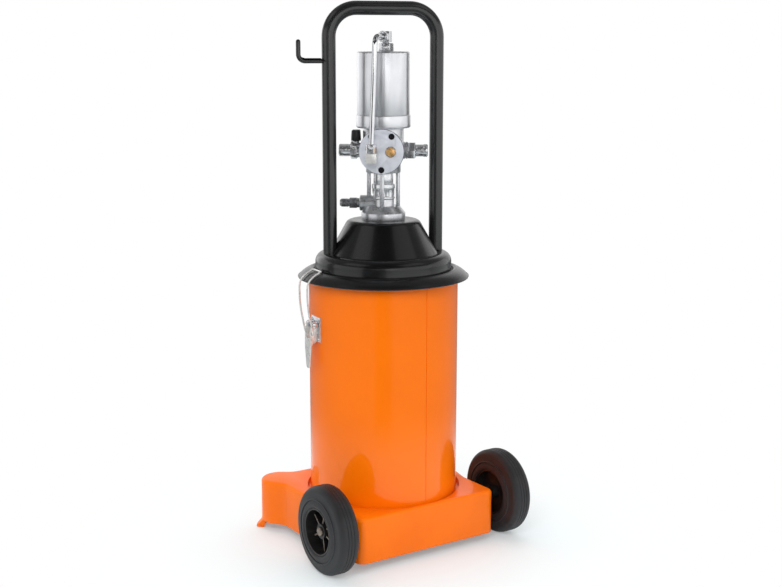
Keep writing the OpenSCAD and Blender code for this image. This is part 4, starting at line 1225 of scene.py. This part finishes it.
@dataclass
class Studio:
    """Pale floor, soft boxes and the camera at the photograph's angle.

    Attributes:
        floor_size: side of the floor.
        floor_drop: how far the floor lies under the wheels.
        tint: colour of the floor, cool against the orange light off the object.
        paper: reflectance of the floor's paper by distance, until cloth takes over.
        cloth: reflectance of the cloth by the cosine to the camera's direction.
        fade: share of plain white in what the camera sees of the floor, by distance.
        room: light of the room by the cosine to the camera's direction.
        mirror: share of that light in reflections, by the same cosine.
        eye: camera place.
        pitch: camera tilt from straight down, in degrees.
        yaw: camera turn about Z, in degrees.
        lens: focal length on a 36 mm sensor.
        shift: sideways shift of the frame.
    """

    floor_size: float = 12.0
    floor_drop: float = 0.2 * MM
    tint: Point = (0.895, 0.98, 1.0)
    paper: Ramp = Ramp(0.4, 0.8, 0.9)
    cloth: Ramp = Ramp(math.cos(math.radians(16)), math.cos(math.radians(6)), 0.26, 0.02)
    fade: Ramp = Ramp(0.2, 0.5, 0.25)
    room: Ramp = Ramp(-0.2, 0.35, 0.9, 0.04)
    mirror: Ramp = Ramp(-0.95, -0.6, 1.0, 0.25)
    eye: Point = (-1.0845, -1.6337, 0.7604)
    pitch: float = 79.295
    yaw: float = -33.494
    lens: float = 59.37
    shift: float = 0.0098

    def build(self) -> None:
        """Builds floor, world, lamps and camera."""
        self.floor()
        self.world()
        for lamp in LAMPS:
            lamp.hang(self.yaw)
        self.camera()

    def ahead(self) -> Vector:
        """Finds the level direction from the object to the camera.

        Returns:
            A unit vector.
        """
        return Vector((self.eye[0], self.eye[1], 0.0)).normalized()

    def floor(self) -> None:
        """Lays a pale floor that the camera sees fade to plain white.

        Reflections see the paper end in grey cloth on both sides of a dark gap at the camera,
        which gives gloss surfaces their calm middle.
        """
        plane = fresh("studio_floor", bpy.ops.mesh.primitive_plane_add, size=self.floor_size)
        plane.data.transform(Matrix.Translation((0, 0, -self.floor_drop)))
        made = bpy.data.materials.new("Pale studio floor")
        made.use_nodes = True
        tree = made.node_tree
        shader = tree.nodes["Principled BSDF"]
        shader.inputs["Roughness"].default_value = 0.7
        place = add_node(tree, "TexCoord").outputs["Object"]
        reach = add_node(tree, "VectorMath", {"operation": "LENGTH"}, {0: place}).outputs["Value"]
        way = add_node(tree, "VectorMath", {"operation": "NORMALIZE"}, {0: place}).outputs["Vector"]
        facing = add_node(tree, "VectorMath", {"operation": "DOT_PRODUCT"}, {
            0: way, 1: tuple(self.ahead()),
        }).outputs["Value"]
        tone = self.paper.add(tree, reach, self.cloth.add(tree, facing))
        cool = add_node(tree, "VectorMath", {"operation": "SCALE"}, {
            0: self.tint, "Scale": tone,
        }).outputs["Vector"]
        tree.links.new(cool, shader.inputs["Base Color"])
        far = self.fade.add(tree, reach)
        seen = add_node(tree, "LightPath").outputs["Is Camera Ray"]
        share = add_node(tree, "Math", {"operation": "MULTIPLY"}, {0: far, 1: seen}).outputs[0]
        white = add_node(tree, "Emission", None, {"Color": (1, 1, 1, 1), "Strength": 1.0})
        mixed = add_node(tree, "MixShader", None, {
            0: share, 1: shader.outputs["BSDF"], 2: white.outputs["Emission"],
        })
        tree.links.new(mixed.outputs[0], tree.nodes["Material Output"].inputs["Surface"])
        plane.data.materials.append(made)

    def world(self) -> None:
        """Surrounds the object with white paper behind it and a dim room before it.

        Reflections see the paper dimmer, so that black gloss stays black, and least so straight
        behind the object, where level tops mirror it.
        """
        world = bpy.data.worlds.new("studio_world")
        bpy.context.scene.world = world
        world.use_nodes = True
        tree = world.node_tree
        way = add_node(tree, "TexCoord").outputs["Generated"]
        facing = add_node(tree, "VectorMath", {"operation": "DOT_PRODUCT"}, {
            0: way, 1: tuple(self.ahead()),
        }).outputs["Value"]
        paper = self.room.add(tree, facing)
        path = add_node(tree, "LightPath").outputs
        share = self.mirror.add(tree, facing)
        dim = add_node(tree, "MapRange", None, {
            "Value": path["Is Glossy Ray"], "To Min": 1.0, "To Max": share,
        }).outputs["Result"]
        room = add_node(tree, "Math", {"operation": "MULTIPLY"}, {0: paper, 1: dim}).outputs[0]
        level = add_node(tree, "Math", {"operation": "MAXIMUM"}, {
            0: room, 1: path["Is Camera Ray"],
        }).outputs[0]
        tree.links.new(level, tree.nodes["Background"].inputs["Strength"])
        tree.nodes["Background"].inputs["Color"].default_value = (1, 1, 1, 1)

    def camera(self) -> None:
        """Sets the camera where the photograph was taken from."""
        turn = (math.radians(self.pitch), 0.0, math.radians(self.yaw))
        camera = fresh("photo_camera", bpy.ops.object.camera_add, location=self.eye, rotation=turn)
        camera.data.sensor_width = 36.0
        camera.data.lens = self.lens
        camera.data.shift_x = self.shift
        bpy.context.scene.camera = camera
        bpy.context.scene.view_settings.view_transform = "Standard"


def main() -> None:
    """Builds the pump and the studio."""
    for part in (Wheels(), Drum(), Lid(), Handle(), GreaseOutlet(), ValveFittings(), AirPipe(),
                 Trim(), Studio()):
        part.build()


if __name__ == "__main__":
    logging.basicConfig(level=logging.INFO)
    main()
